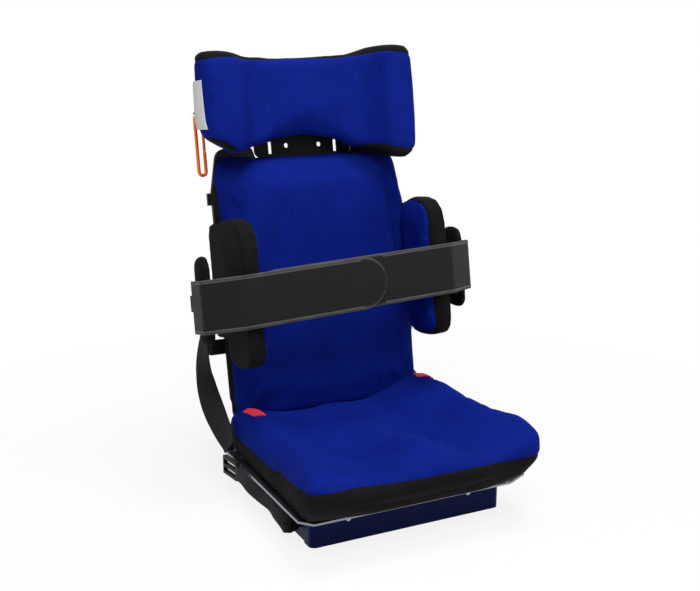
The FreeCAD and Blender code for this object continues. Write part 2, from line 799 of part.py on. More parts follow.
def make_back_arms():
    for name, side in SIDES:
        body = new_body("back_arm_" + name)
        end = S.arm_end_radius
        behind = -(S.shell_front - S.shell_thick)
        depth = behind + S.arm_depth
        start = ARM_OUTSIDE - S.arm_thick if side == RIGHT else -ARM_OUTSIDE
        clear = S.shell_bottom - S.arm_end_radius / 2
        outline = [(-end, -end), (end, -end), (end, end), (depth, S.shell_bottom),
                   (depth, S.arm_rise), (behind, S.arm_rise), (behind, clear), (-end, end)]
        pad(body, "arm_web", "YZ_Plane", outline, S.arm_thick, start)
        round_edges(body, "arm_end", 0, outline[:2], end - S.side_gap)
        pierce(body, "arm_hole", "YZ_Plane", [((0, 0), S.pivot_radius + S.running_gap)])
        outer = side * ARM_OUTSIDE
        inner = side * (ARM_OUTSIDE - S.arm_flange)
        back_face = behind + S.bar_thick
        flange = [(outer, behind), (inner, behind), (inner, back_face), (outer, back_face)]
        rise = S.arm_rise - S.shell_bottom - S.arm_end_radius
        pad(body, "arm_flange", "XY_Plane", flange, rise, S.shell_bottom + S.arm_end_radius)
        holes = [flat_ring((side * arm_bolt_reach(), level), S.plate_bolt + S.panel_clearance)
                 for level in arm_bolt_levels()]
        pierce(body, "arm_bolt_holes", "XZ_Plane", outlines=holes)
        lean(body)
        keep(body, "back_arm_" + name)


def arm_bolt_reach():
    return ARM_OUTSIDE - S.arm_flange * 0.6


def arm_bolt_levels():
    return (S.shell_bottom + S.arm_end_radius * 3, S.arm_rise - S.arm_end_radius * 2)


def make_arm_bolts():
    bolts = []
    shell_face = -S.shell_front
    rear_face = -(S.shell_front - S.shell_thick) + S.bar_thick
    for name, side in SIDES:
        for level in arm_bolt_levels():
            x = side * arm_bolt_reach()
            shank = prism("arm_bolt_shank", "y", (x, shell_face + S.panel_clearance, level),
                          rear_face - shell_face - S.panel_clearance, S.plate_bolt, HOLE_SIDES)
            head = prism("arm_bolt_head", "y", (x, rear_face, level), S.plate_bolt,
                           S.plate_bolt * 1.8)
            bolts.append(fuse("arm_bolt_" + name, [shank, head]))
    keep(lean(group("back_arm_bolts", bolts)), "back_arm_bolts")


# Star knobs, drawn with the stud along the local Z axis

def hub_height():
    return S.knob_hub * 0.6


def star_outline(outer, inner, lobes):
    """Corners of a star whose lobes have flat ends."""
    spots = []
    turn = 2 * math.pi / lobes
    for lobe in range(lobes):
        for share, radius in ((-0.24, outer), (0.24, outer), (0.5, inner)):
            angle = turn * (lobe + share)
            spots.append((radius * math.cos(angle), radius * math.sin(angle)))
    return spots


def make_knob(name, stud_length, bore=None):
    """A five-lobed clamp knob; its stud or bore starts at z = 0."""
    body = new_body(name)
    hub_tall = hub_height()
    if bore is None:
        pad_circle(body, "stud", "XY_Plane", (0, 0), S.stud_radius, stud_length)
    pad(body, "hub", "XY_Plane", flat_ring((0, 0), S.knob_hub), hub_tall, stud_length)
    star = star_outline(S.knob_radius, S.knob_radius - S.knob_notch * 0.8, 5)
    pad(body, "star", "XY_Plane", star, S.knob_thick, stud_length + hub_tall)
    if bore is not None:
        sketch = new_sketch(body, "bore_outline", "XY_Plane")
        draw_circle(sketch, (0, 0), bore)
        pocket = body.newObject("PartDesign::Pocket", "bore")
        pocket.Profile = sketch
        bind(pocket, "Length", hub_tall + S.knob_thick - S.sheet_steel)
        pocket.Reversed = True
        body.Tip = pocket
        doc.recompute()
    return body


def make_recline_knobs():
    for name, side in SIDES:
        bore = S.pivot_radius + S.running_gap
        body = make_knob("recline_knob_" + name, 0, bore=bore)
        body.Placement = Placement(Vector(), Rotation(Vector(0, 1, 0), 90 * side))
        bind(body, ".Placement.Base.x", side * (TRAY_HALF + S.sheet_steel))
        bind(body, ".Placement.Base.y", S.hinge_y)
        bind(body, ".Placement.Base.z", S.hinge_z)
        keep(body, "recline_knob_" + name)


def leaned_spot(obj, x, y, z):
    """Places a piece at an upright spot of the back, then leans it."""
    angle = S.recline.text
    obj.setExpression(".Placement.Base.x", x.text if isinstance(x, Size) else repr(float(x)))
    across = "%s * cos(%s * 1 deg) + %s * sin(%s * 1 deg)" % (as_text(y), angle, as_text(z), angle)
    along = "%s * cos(%s * 1 deg) - %s * sin(%s * 1 deg)" % (as_text(z), angle, as_text(y), angle)
    obj.setExpression(".Placement.Base.y", "%s + %s" % (S.hinge_y.text, across))
    obj.setExpression(".Placement.Base.z", "%s + %s" % (S.hinge_z.text, along))


def as_text(size):
    return size.text if isinstance(size, Size) else repr(float(size))


def place_rear_knob(body, x, y, level):
    """Points a knob's stud out of the back of the seat."""
    body.Placement = Placement(Vector(), Rotation(Vector(-1, 0, 0), 90 + float(S.recline)))
    bind(body, ".Placement.Rotation.Angle", S.recline + 90)
    leaned_spot(body, x, y, level)


# Back

def make_back_shell():
    body = new_body("back_shell")
    half = S.shell_width / 2
    low, top, neck = S.shell_bottom, S.shell_top, S.shell_neck
    shoulder = half - 14
    ear = half * 0.55
    outline = [(-half + 16, low), (half - 16, low), (half - 3, low + 40), (half, top - 70),
               (shoulder, top), (ear, top), (ear - 8, neck), (8 - ear, neck), (-ear, top),
               (-shoulder, top), (-half, top - 70), (3 - half, low + 40)]
    pad(body, "shell_panel", "XZ_Plane", outline, S.shell_thick, S.shell_front - S.shell_thick)
    round_edges(body, "shell_corners", 1, [outline[i] for i in (0, 1, 4, 9)], S.plate_fold * 1.5)
    round_edges(body, "shell_neck_corners", 1, [outline[i] for i in (5, 6, 7, 8)], S.plate_fold / 2)
    slots = []
    for _, side in SIDES:
        left = side * S.slot_reach - S.slot_width / 2
        right = side * S.slot_reach + S.slot_width / 2
        slots.append([(left, S.slot_low), (right, S.slot_low),
                      (right, S.slot_high), (left, S.slot_high)])
    pierce(body, "shell_slots", "XZ_Plane", outlines=slots)
    holes = [flat_ring((side * arm_bolt_reach(), level), S.plate_bolt + S.panel_clearance)
             for _, side in SIDES for level in arm_bolt_levels()]
    pierce(body, "shell_holes", "XZ_Plane", outlines=holes)
    lean(body)
    keep(body, "back_shell")


def back_section(level, half, rear, front, hollow):
    """One slice across the back cushion at a given height."""
    tuck = 5.0

    def spot(x, y):
        return Vector(x, y, level)

    side = (rear + front) / 2
    shoulder = half * 0.8
    return chain([
        (spot(-half + tuck, rear),),
        (spot(half - tuck, rear),),
        (spot(half, side + 4), spot(half - tuck, front + 12)),
        (spot(half - tuck * 3, front + 3), spot(shoulder, front)),
        (spot(0, front + hollow), spot(-shoulder, front)),
        (spot(-half + tuck * 3, front + 3), spot(-half + tuck, front + 12)),
        (spot(-half, side + 4), spot(-half + tuck, rear)),
    ])


def make_back_cushion():
    half = float(S.back_width) / 2
    rear = -float(S.shell_front + S.soft_gap)
    thick = float(S.back_thick)
    low, high = float(S.back_bottom), float(S.back_top)
    tall = high - low
    # share of the height, side inset, share of the thickness, hollow
    slices = [
        (0, 9, 0.80, 1.5),
        (0.015, 4, 0.93, 2),
        (0.08, 2, 0.97, 3),
        (0.28, 1, 1.0, 4),
        (0.50, 0, 1.02, 5),
        (0.75, 0, 1.0, 5),
        (0.88, 4, 0.98, 4),
        (0.95, 14, 0.9, 3),
        (0.985, 24, 0.76, 2),
        (1.0, 34, 0.5, 1),
    ]
    wires = [back_section(low + share * tall, half - inset, rear, rear - thick * full, hollow)
             for share, inset, full, hollow in slices]
    soft_part("back_cushion", loft(wires))


def make_headrest_sleeve():
    wall = S.sleeve_wall
    half = S.stem_width / 2 + S.slide_gap
    front = -(S.shell_front - S.shell_thick)
    inside_front = -S.stem_front - S.slide_gap
    inside_rear = S.stem_thick - S.stem_front + S.slide_gap
    block = box("sleeve_block", (-half - wall * 3, front, S.sleeve_low),
                (half + wall * 3, inside_rear + wall, S.sleeve_high))
    room = box("sleeve_room", (-half, inside_front, S.sleeve_low - 1),
               (half, inside_rear, S.sleeve_high + 1))
    level = (S.sleeve_low + S.sleeve_high) / 2
    hole = rod("sleeve_hole", "y", (0, inside_front, level), wall * 4,
               S.stud_radius + S.running_gap)
    sleeve = cut("headrest_sleeve", block, fuse("sleeve_openings", [room, hole]))
    keep(lean(sleeve), "headrest_sleeve")


def make_headrest_knob():
    rear = S.stem_thick - S.stem_front
    body = make_knob("headrest_knob", S.sleeve_wall + S.side_gap * 2)
    place_rear_knob(body, 0, rear + S.running_gap, (S.sleeve_low + S.sleeve_high) / 2)
    keep(body, "headrest_knob")


def make_webbing_anchors():
    for name, side in SIDES:
        body = new_body("webbing_anchor_" + name)
        behind = -(S.shell_front - S.shell_thick)
        gauge = S.plate_gauge
        outer = side * (S.web_reach - S.lock_thick)
        bend = outer - side * gauge
        inner = side * (ARM_OUTSIDE + S.side_gap)
        depth = behind + S.arm_depth * 1.2
        outline = [(inner, behind), (outer, behind), (outer, depth), (bend, depth),
                   (bend, behind + gauge), (inner, behind + gauge)]
        tall = S.low_web_width
        pad(body, "anchor_plate", "XY_Plane", outline, tall, S.anchor_level - tall / 2)
        round_edges(body, "anchor_bend", 2, [outline[1]], gauge + 1)
        lean(body)
        keep(body, "webbing_anchor_" + name)


def make_edge_clips():
    clips = []
    for name, side in SIDES:
        half = S.shell_width / 2
        out = side * (half + 5)
        inner = side * (half - 8)
        low_x, high_x = (out, inner) if side == LEFT else (inner, out)
        level = S.clip_level
        rear = -(S.shell_front - S.shell_thick)
        block = box("clip_block", (low_x, rear, level), (high_x, rear + 6, level + 20))
        clips.append(block)
    keep(lean(group("edge_clips", clips)), "edge_clips")


# Side supports

BLOCK_FRONT = -(S.shell_front - S.shell_thick)
BAR_FRONT = -S.bar_thick


def support_level(side):
    """The two supports are set at their own heights."""
    return S.support_level + S.support_shift * side


PAD_OUTSIDE = S.back_width / 2 + S.tail_thick + S.layer_gap
ELBOW_INSIDE = PAD_OUTSIDE + S.elbow_gap


def make_clamp_blocks():
    front = BLOCK_FRONT + S.running_gap
    for name, side in SIDES:
        level = support_level(side)
        low = level - S.block_height / 2
        high = level + S.block_height / 2
        left = side * S.slot_reach - S.block_width / 2
        right = side * S.slot_reach + S.block_width / 2
        block = box("clamp_block", (left, front, low), (right, BLOCK_FRONT + S.block_depth, high))
        key_half = S.slot_width / 2 - S.slide_gap
        reach = side * S.slot_reach
        key = box("clamp_key", (reach - key_half, S.soft_gap - S.shell_front, level - S.bar_height / 3),
                  (reach + key_half, front, level + S.bar_height / 3))
        bar_low = level - S.bar_height / 2 - S.slide_gap
        bar_high = level + S.bar_height / 2 + S.slide_gap
        room = box("clamp_room", (left - 1, BAR_FRONT - S.slide_gap, bar_low),
                   (right + 1, S.slide_gap, bar_high))
        hole = rod("clamp_hole", "y", (reach, S.slide_gap / 2, level), S.block_depth,
                   S.stud_radius + S.running_gap)
        whole = fuse("clamp_solid_" + name, [block, key])
        tools = fuse("clamp_openings_" + name, [room, hole])
        keep(lean(cut("clamp_block_" + name, whole, tools)), "clamp_block_" + name)


def make_clamp_knobs():
    for name, side in SIDES:
        wall = BLOCK_FRONT + S.block_depth
        body = make_knob("clamp_knob_" + name, wall + S.side_gap - S.slide_gap)
        place_rear_knob(body, side * S.slot_reach, S.slide_gap, support_level(side))
        keep(body, "clamp_knob_" + name)


def make_side_arms():
    """A flat bar with two prongs that point forward: the inner one
    carries the side pad and the outer one the outer pad."""
    gauge = S.bar_thick
    near = PAD_OUTSIDE + S.layer_gap
    far = ELBOW_INSIDE - S.layer_gap
    near_reach = S.plate_fold * 2 - S.pad_front
    far_reach = S.plate_fold / 2 - S.elbow_front
    near_rear = S.pad_depth - S.pad_front - S.plate_fold / 2
    far_rear = -S.elbow_rear - S.plate_fold / 2
    for name, side in SIDES:
        body = new_body("side_arm_" + name)
        level = support_level(side)
        middle = level + S.bar_height / 2
        low_edge, high_edge = middle - S.bar_height * 2, middle + S.bar_height
        start = side * (S.slot_reach - S.block_width)
        outline = [(start, 0), (side * far, 0), (side * far, far_reach),
                   (side * (far - gauge), far_reach), (side * (far - gauge), BAR_FRONT),
                   (side * (near + gauge), BAR_FRONT), (side * (near + gauge), near_reach),
                   (side * near, near_reach), (side * near, BAR_FRONT), (start, BAR_FRONT)]
        pad(body, "arm_bar", "XY_Plane", outline, S.bar_height, level - S.bar_height / 2)
        round_edges(body, "arm_outer_bend", 2, [outline[1]], S.plate_fold)
        round_edges(body, "arm_inner_bend", 2, [outline[4]], S.plate_fold - gauge)
        corners = []
        for plate, low_x, reach, rear in (("near", near, near_reach, near_rear),
                                          ("far", far - gauge, far_reach, far_rear)):
            face = [(reach, low_edge), (rear, low_edge), (rear, high_edge), (reach, high_edge)]
            corners += face
            face_start = low_x if side == RIGHT else -low_x - gauge
            pad(body, "arm_face_" + plate, "YZ_Plane", face, gauge, face_start)
        round_edges(body, "arm_face_corners", 0, corners, S.plate_fold / 2)
        lean(body)
        keep(body, "side_arm_" + name)


def pad_wire(x, front, rear, low, high, big, small):
    """The outline of a side pad, with a full upper front corner."""
    def spot(y, z):
        return Vector(x, y, z)

    def cut_corner(radius):
        return radius * (1 - math.sqrt(0.5))
    b, c = cut_corner(big), cut_corner(small)
    mid_y, mid_z = (front + rear) / 2, (low + high) / 2
    return chain([
        (spot(front + small, low),),
        (spot(mid_y, low - 1.5), spot(rear - small, low)),
        (spot(rear - c, low + c), spot(rear, low + small)),
        (spot(rear + 1, mid_z), spot(rear, high - small)),
        (spot(rear - c, high - c), spot(rear - small, high)),
        (spot((front + rear + big - small) / 2, high + 1.5), spot(front + big, high)),
        (spot(front + b, high - b), spot(front, high - big)),
        (spot(front - 1.5, mid_z), spot(front, low + small)),
        (spot(front + c, low + c), spot(front + small, low)),
    ])


def make_side_pads():
    outer = float(PAD_OUTSIDE)
    thick = float(S.pad_thick)
    front = -float(S.pad_front)
    rear = front + float(S.pad_depth)
    for name, side in SIDES:
        shift = float(S.support_shift) * side
        low, high = float(S.pad_low) + shift, float(S.pad_high) + shift
        wires = []
        # share of the thickness from the outer face, inset
        for share, inset in ((0.0, 4), (0.14, 0.5), (0.5, -0.8), (0.84, 3), (0.96, 9), (1.0, 15)):
            wires.append(pad_wire(side * (outer - share * thick), front + inset, rear - inset,
                                  low + inset, high - inset, 46 - inset, 30 - inset))
        soft_part("side_pad_" + name, loft(wires))


def make_pad_covers():
    """Thin covers beside the back cushion; they stop ahead of the
    webbing anchors, so that the supports slide past them."""
    outer = float(PAD_OUTSIDE) + 0.2
    thick = float(S.tail_thick)
    front = float(S.pad_depth - S.pad_front) + 2.2
    rear = float(BLOCK_FRONT - S.layer_gap)
    for name, side in SIDES:
        shift = float(S.support_shift) * side
        low = float(S.pad_low + S.tail_foot) + shift
        high = float(S.pad_high - S.tail_top) + shift
        wires = []
        for share, inset in ((0.0, 3), (0.3, 0), (0.7, 0), (1.0, 3)):
            wires.append(pad_wire(side * (outer - share * thick), front, rear - inset,
                                  low + inset, high - inset, 12, 12))
        soft_part("pad_cover_" + name, loft(wires))


def make_elbow_pads():
    inner = float(ELBOW_INSIDE)
    thick = float(S.elbow_thick)
    front, rear = -float(S.elbow_front), -float(S.elbow_rear)
    for name, side in SIDES:
        shift = float(S.support_shift) * side
        low, high = float(S.elbow_low) + shift, float(S.elbow_high) + shift
        wires = []
        for share, inset in ((0.0, 3), (0.2, 0.5), (0.5, 0), (0.8, 1.5), (0.95, 4), (1.0, 6)):
            wires.append(pad_wire(side * (inner + share * thick), front + inset, rear - inset,
                                  low + inset, high - inset, 20 - inset, 14 - inset))
        soft_part("elbow_pad_" + name, loft(wires))


# Chest strap

BEND_STEP = 11
END_STEPS = 5


def rounded_path(corners, bend):
    """Spots along a line in plan with rounded corners, each with the
    way out of the strap."""
    spots = []
    headings = []
    for (x0, y0), (x1, y1) in zip(corners, corners[1:]):
        headings.append(math.atan2(-(x1 - x0), -(y1 - y0)))
    spots.append((corners[0], headings[0]))
    for (x, y), before, after in zip(corners[1:-1], headings, headings[1:]):
        reach = bend * math.tan((after - before) / 2)
        start_x = x + reach * math.sin(before) - bend * math.cos(before)
        start_y = y + reach * math.cos(before) + bend * math.sin(before)
        steps = max(2, round(math.degrees(after - before) / BEND_STEP))
        for step in range(steps + 1):
            angle = before + (after - before) * step / steps
            spot = (start_x + bend * math.cos(angle), start_y - bend * math.sin(angle))
            spots.append((spot, angle))
    return spots


def strap_path(side, layer, free_end):
    """Spots in plan, from the outer pad round the side pad to the free
    end, each with the way out of the strap and its share of the height."""
    half = float(S.strap_thick) / 2
    gap = float(S.layer_gap)
    step_out = layer * (float(S.strap_thick) + gap)
    outside = float(ELBOW_INSIDE + S.elbow_thick) + gap + half
    front = -float(S.pad_front + S.strap_clear) - half - step_out
    corners = [(outside, -float(S.strap_rear)), (outside, -float(S.elbow_front + S.strap_clear)),
               (float(PAD_OUTSIDE) + gap + half, front), (free_end, front)]
    stops = [(x, y, angle, 1.0) for (x, y), angle in rounded_path(corners, float(S.strap_corner))]
    tip = float(S.strap_height) / 2
    for step in range(END_STEPS + 1):
        angle = math.pi / 2 * step / END_STEPS
        share = max(math.cos(angle), 0.16)
        x = free_end + tip * (1 - math.sin(angle))
        stops.append((x, front, math.pi / 2, share))
    spots = []
    for x, y, angle, share in stops:
        out = Vector(side * math.cos(angle), -math.sin(angle), 0)
        spots.append((Vector(side * x, y, 0), out, share))
    return spots


def make_chest_strap():
    half = float(S.strap_thick) / 2
    tall = float(S.strap_height)
    tilt = float(S.strap_tilt)
    # layer, free end, level, fall towards the rear end
    ends = {
        "left": (1, -S.strap_overlap, S.strap_level - S.strap_lap_drop, S.strap_left_fall),
        "right": (0, -S.strap_inner_end, S.strap_level, S.strap_right_fall),
    }
    for name, side in SIDES:
        layer, free_end, level, drop = ends[name]
        spots = strap_path(side, layer, float(free_end))
        rear = spots[0][0].y
        front = spots[-1][0].y
        wires = []
        for spot, out, share in spots:
            fall = float(drop) * abs(spot.y - front) / abs(rear - front)
            height = float(level) - tall / 2 * share - fall + spot.x * tilt
            base = Vector(spot.x, spot.y, height)
            up = Vector(0, 0, tall * share)
            wires.append([base - out * half, base + out * half,
                          base + out * half + up, base - out * half + up])
        soft_part("chest_strap_" + name, loft(wires))


# Headrest

def make_headrest_stem():
    body = new_body("headrest_stem")
    half = S.stem_width / 2
    outline = [(-half, S.stem_low), (half, S.stem_low), (half, S.stem_high), (-half, S.stem_high)]
    rear = S.stem_thick - S.stem_front
    pad(body, "stem_bar", "XZ_Plane", outline, S.stem_thick, -rear)
    round_edges(body, "stem_corners", 1, outline[:2], S.stem_thick)
    holes = [flat_ring((0, level), S.plate_bolt + S.panel_clearance) for level in head_bolt_levels()]
    pierce(body, "stem_holes", "XZ_Plane", outlines=holes)
    lean(body)
    keep(body, "headrest_stem")


def head_bolt_levels():
    return (S.stem_high - S.stem_width / 4, S.stem_high - S.stem_width * 0.8)


HEAD_PLATE_REAR = -S.stem_front - S.spacer_thick


def make_headrest_plate():
    body = new_body("headrest_plate")
    low, neck, wing = S.shell_neck + S.head_plate_gap, S.head_plate_neck, S.head_plate_wing
    waist = S.shell_top + S.head_plate_clear
    top = S.head_top - 40
    outline = [(-neck, low), (neck, low), (neck, waist), (wing, waist + 12), (wing, top),
               (-wing, top), (-wing, waist + 12), (-neck, waist)]
    pad(body, "head_plate_sheet", "XZ_Plane", outline, S.head_plate_thick, -HEAD_PLATE_REAR)
    round_edges(body, "head_plate_corners", 1, [outline[i] for i in (0, 1, 3, 4, 5, 6)], S.plate_fold)
    sight_holes = [((side * 30, low + 19), S.pivot_radius * 0.8) for _, side in SIDES]
    holes = [flat_ring((0, level), S.plate_bolt + S.panel_clearance) for level in head_bolt_levels()]
    pierce(body, "head_plate_holes", "XZ_Plane", sight_holes, holes)
    slots = []
    for _, side in SIDES:
        x = side * (neck * 0.68)
        slots.append([(x - 3, low + 6), (x + 3, low + 6), (x + 3, low + 26), (x - 3, low + 26)])
    pierce(body, "head_plate_slots", "XZ_Plane", outlines=slots)
    lean(body)
    keep(body, "headrest_plate")


def make_headrest_spacer():
    half = S.stem_width / 2
    low = S.stem_high - S.stem_width
    block = box("spacer_block", (-half, HEAD_PLATE_REAR, low), (half, -S.stem_front, S.stem_high))
    holes = [prism("spacer_hole", "y", (0, HEAD_PLATE_REAR - 1, level), S.stem_width,
                   S.plate_bolt + S.panel_clearance, HOLE_SIDES)
             for level in head_bolt_levels()]
    spacer = cut("headrest_spacer", block, fuse("spacer_openings", holes))
    keep(lean(spacer), "headrest_spacer")


def make_headrest_bolts():
    bolts = []
    front = HEAD_PLATE_REAR - S.head_plate_thick
    rear = S.stem_thick - S.stem_front
    for level in head_bolt_levels():
        shank = prism("head_bolt_shank", "y", (0, front + S.panel_clearance, level),
                      rear - front - S.panel_clearance, S.plate_bolt, HOLE_SIDES)
        head = prism("head_bolt_head", "y", (0, rear, level), S.plate_bolt, S.plate_bolt * 1.8)
        bolts.append(fuse("head_bolt", [shank, head]))
    keep(lean(group("headrest_bolts", bolts)), "headrest_bolts")


HEAD_CROWN = 2.0
HEAD_CORNER = 14.0


def make_headrest_cushion():
    """A thick C in plan, with an outer and an inner line."""
    wide = float(S.head_width) / 2
    back = float(HEAD_PLATE_REAR - S.head_plate_thick - S.soft_gap) - HEAD_CROWN
    thick = float(S.head_thick)
    depth = float(S.head_front) + back
    low, arch, top = float(S.head_low), float(S.head_arch), float(S.head_top)
    # outer spot across and forward, inner spot across and forward, all as
    # shares, then the share of the arch and the fall of the top
    stations = [
        (0.0, 0.0, 0.0, 0.0, 1.0, 6),
        (0.31, 0.0, 0.28, 0.0, 0.84, 5),
        (0.60, 0.01, 0.44, 0.04, 0.42, 2),
        (0.79, 0.08, 0.52, 0.18, 0.2, 0),
        (0.93, 0.29, 0.575, 0.40, 0.1, 0),
        (0.985, 0.54, 0.615, 0.58, 0.04, 2),
        (0.975, 0.76, 0.645, 0.78, 0.0, 5),
        (0.945, 0.90, 0.675, 0.92, 0.03, 9),
        (0.90, 0.98, 0.705, 0.99, 0.12, 16),
        (0.86, 1.0, 0.745, 1.0, 0.25, 25),
    ]
    run = [(LEFT,) + station for station in stations[:0:-1]]
    run += [(RIGHT,) + station for station in stations]
    wires = []
    for side, out_x, out_y, in_x, in_y, share, fall in run:
        outer = Vector(side * wide * out_x, back - depth * out_y, 0)
        inner = Vector(side * wide * in_x, back - thick - (depth - thick) * in_y, 0)
        middle = (outer + inner) / 2 - Vector(float(S.head_shift), 0, 0)
        half = (outer - inner).Length / 2
        across = (outer - inner).normalize()
        bottom = low + (arch - low) * share
        wires.append(bulged_box(middle, across, Vector(0, 0, 1), half, bottom, top - fall,
                                min(HEAD_CORNER, half * 0.6), HEAD_CROWN))
    soft_part("headrest_cushion", loft(wires))


# Webbing

def ribbon(spots, width, thick):
    """A strap through spots, each with the direction of its width."""
    wires = []
    for i, (spot, wide) in enumerate(spots):
        before = spots[max(i - 1, 0)][0]
        after = spots[min(i + 1, len(spots) - 1)][0]
        along = (after - before).normalize()
        across = (wide - along * wide.dot(along)).normalize()
        out = along.cross(across)
        a, b = across * (width / 2), out * (thick / 2)
        wires.append([spot - a - b, spot + a - b, spot + a + b, spot - a + b])
    return loft(wires)


def make_upper_webbing():
    """Hangs from the shell in a bow and comes down to the ladder lock,
    with its outer face turned a little forward."""
    reach = float(S.web_reach)
    # spot in from the reach, behind and above the recline bolts, share of
    # the turn, and how much farther back the right one hangs
    route = [(4.4, 15, 174, 0.0, 0), (3.6, 25, 142, 0.3, 6), (4, 28, 113, 0.6, 14),
             (3, 14, 88, 0.8, 20), (2, -8, 66, 0.8, 18), (1, -38, 44, 0.5, 10),
             (1, -66, 24, 0.3, 2), (1, -79, 9, 0.15, 0)]
    for name, side in SIDES:
        spots = []
        for inset, y, z, turn, back in route:
            spot = Vector(side * (reach - inset), y + (back if side == RIGHT else 0), z)
            spots.append((spot, Vector(-side * turn / 2, -1, 0)))
        shape = ribbon(spots, float(S.web_width), float(S.web_thick))
        soft_part("upper_webbing_" + name, shape)


def make_ladder_locks():
    """Two-slot frames that join the upper and lower webbing."""
    half_x, half_y, half_z = S.lock_thick / 2, S.lock_long / 2, S.lock_tall / 2
    bar = S.lock_bar
    for name, side in SIDES:
        frame = box("lock_frame", (-half_x, -half_y, -half_z), (half_x, half_y, half_z))
        slots = []
        for low, high in ((bar - half_z, -bar / 2), (bar / 2, half_z - bar)):
            slots.append(box("lock_slot", (-half_x - 1, bar * 0.6 - half_y, low),
                             (half_x + 1, half_y - bar * 0.6, high)))
        lock = cut("ladder_lock_" + name, frame, fuse("lock_slots", slots))
        lock.Placement = Placement(Vector(), Rotation(Vector(0, 0, -side), float(S.lock_turn)))
        bind(lock, ".Placement.Rotation.Angle", S.lock_turn)
        bind(lock, ".Placement.Base.x", side * S.web_reach)
        bind(lock, ".Placement.Base.y", S.lock_y)
        bind(lock, ".Placement.Base.z", S.lock_z)
        keep(lock, "ladder_lock_" + name)


def make_lower_webbing():
    """Runs forward beside the cushion, hangs in a loop and goes into
    the slot in the side of the tray."""
    reach = float(S.web_reach)
    wall = float(TRAY_HALF)
    slot_y = float(S.web_slot_long) / 2 - float(S.web_slot_front)
    slot_z = float(S.web_slot_low + S.web_slot_tall / 2)
    start = float(S.lock_y - S.lock_long / 2) - 1
    level = float(S.lock_z)
    # spot across, behind and above, then the way of the width
    route = [
        (reach, start, level, 0, 0, 1),
        (reach - 1, start - 21, level, 0, 0, 1),
        (reach - 4, start - 42, level - 6, 0, 0.05, 1),
        (reach - 12, start - 70, level - 13, 0, 0.1, 1),
        (reach - 16, start - 96, level - 15, 0, 0.2, 1),
        (reach - 18, start - 118, level - 22, 0, 0.5, 1),
        (wall + 15, slot_y - 8, slot_z - 5, 0, 1, 0.5),
        (wall + 7, slot_y - 2, slot_z - 3, 0, 1, 0.1),
        (wall - 8, slot_y, slot_z, 0, 1, 0),
    ]
    spots = [(Vector(-x, y, z), Vector(wx, wy, wz)) for x, y, z, wx, wy, wz in route]
    shape = ribbon(spots, float(S.low_web_width), float(S.web_thick))
    soft_part("lower_webbing_left", shape, leans=False)
    soft_part("lower_webbing_right", shape.mirror(Vector(), Vector(1, 0, 0)), leans=False)


# Belt hook on the left of the headrest

def make_belt_hook():
    """A long ring of round rod: its top bar turns in the loop of the
    tab, and a pin at the end of the bar carries the gate."""
    radius = float(S.hook_rod)
    half = float(S.hook_width) / 2
    middle = -float(S.hook_reach)
    bar_level = float(S.hook_top)
    low = float(S.hook_top - S.hook_length) + half
    centres = [Vector(half, 0, bar_level - half - float(S.gate_length))]
    for step in range(7):
        angle = math.radians(-30 * step)
        centres.append(Vector(half * math.cos(angle), 0, low + half * math.sin(angle)))
    centres += [Vector(-half, 0, bar_level - half / 2), Vector(-half * 0.86, 0, bar_level - half * 0.14),
                Vector(-half / 2, 0, bar_level)]
    rings = []
    for number, centre in enumerate(centres):
        before = centres[max(number - 1, 0)]
        after = centres[min(number + 1, len(centres) - 1)]
        along = (after - before).normalize()
        out = along.cross(Vector(0, 1, 0))
        ring = []
        for step in range(8):
            angle = math.radians(45 * step)
            spot = centre + out * (radius * math.cos(angle)) + Vector(0, radius * math.sin(angle), 0)
            ring.append(spot + Vector(middle, 0, 0))
        rings.append(ring)
    ring = doc.addObject("Part::Feature", "hook_ring")
    ring.Shape = loft(rings)
    x, z = -S.hook_reach, S.hook_top
    pin_x = x + S.hook_width / 2
    bar_start = x - S.hook_rod * 1.5
    bar = rod("hook_bar", "x", (bar_start, 0, z), pin_x - S.gate_eye - bar_start - S.side_gap, S.hook_rod)
    cheek_start = x + (S.loop_wide + S.side_gap) / 2
    cheek = box("hook_cheek", (cheek_start, -S.hook_rod, z - S.hook_rod * 0.9),
                (pin_x, -S.side_gap / 3, z + S.hook_rod * 0.9))
    eye = rod("hook_eye", "y", (pin_x, -S.hook_rod, z), S.hook_rod - S.side_gap / 3, S.gate_eye)
    pin = rod("hook_pin", "y", (pin_x, -S.hook_rod, z), S.hook_rod * 2, S.gate_pin)
    keep(lean(fuse("belt_hook", [ring, bar, cheek, eye, pin])), "belt_hook")


def make_belt_hook_gate():
    x = S.hook_width / 2 - S.hook_reach
    z = S.hook_top
    high = z - S.gate_eye - S.side_gap * 2
    low = z - S.hook_width / 2 - S.gate_length + S.side_gap * 2
    bar = rod("gate_rod", "z", (x, 0, low), high - low, S.hook_rod * 0.85)
    eye = rod("gate_eye", "y", (x, S.side_gap / 3, z), S.hook_rod - S.side_gap / 3, S.gate_eye)
    link = box("gate_link", (x - S.gate_pin, S.side_gap / 3, high - S.gate_eye),
               (x + S.gate_pin, S.hook_rod * 0.8, z - S.gate_pin))
    bore = rod("gate_bore", "y", (x, 0, z), S.hook_rod * 2, S.gate_pin + S.running_gap)
    gate = cut("belt_hook_gate", fuse("gate_solid", [bar, eye, link]), bore)
    keep(lean(gate), "belt_hook_gate")


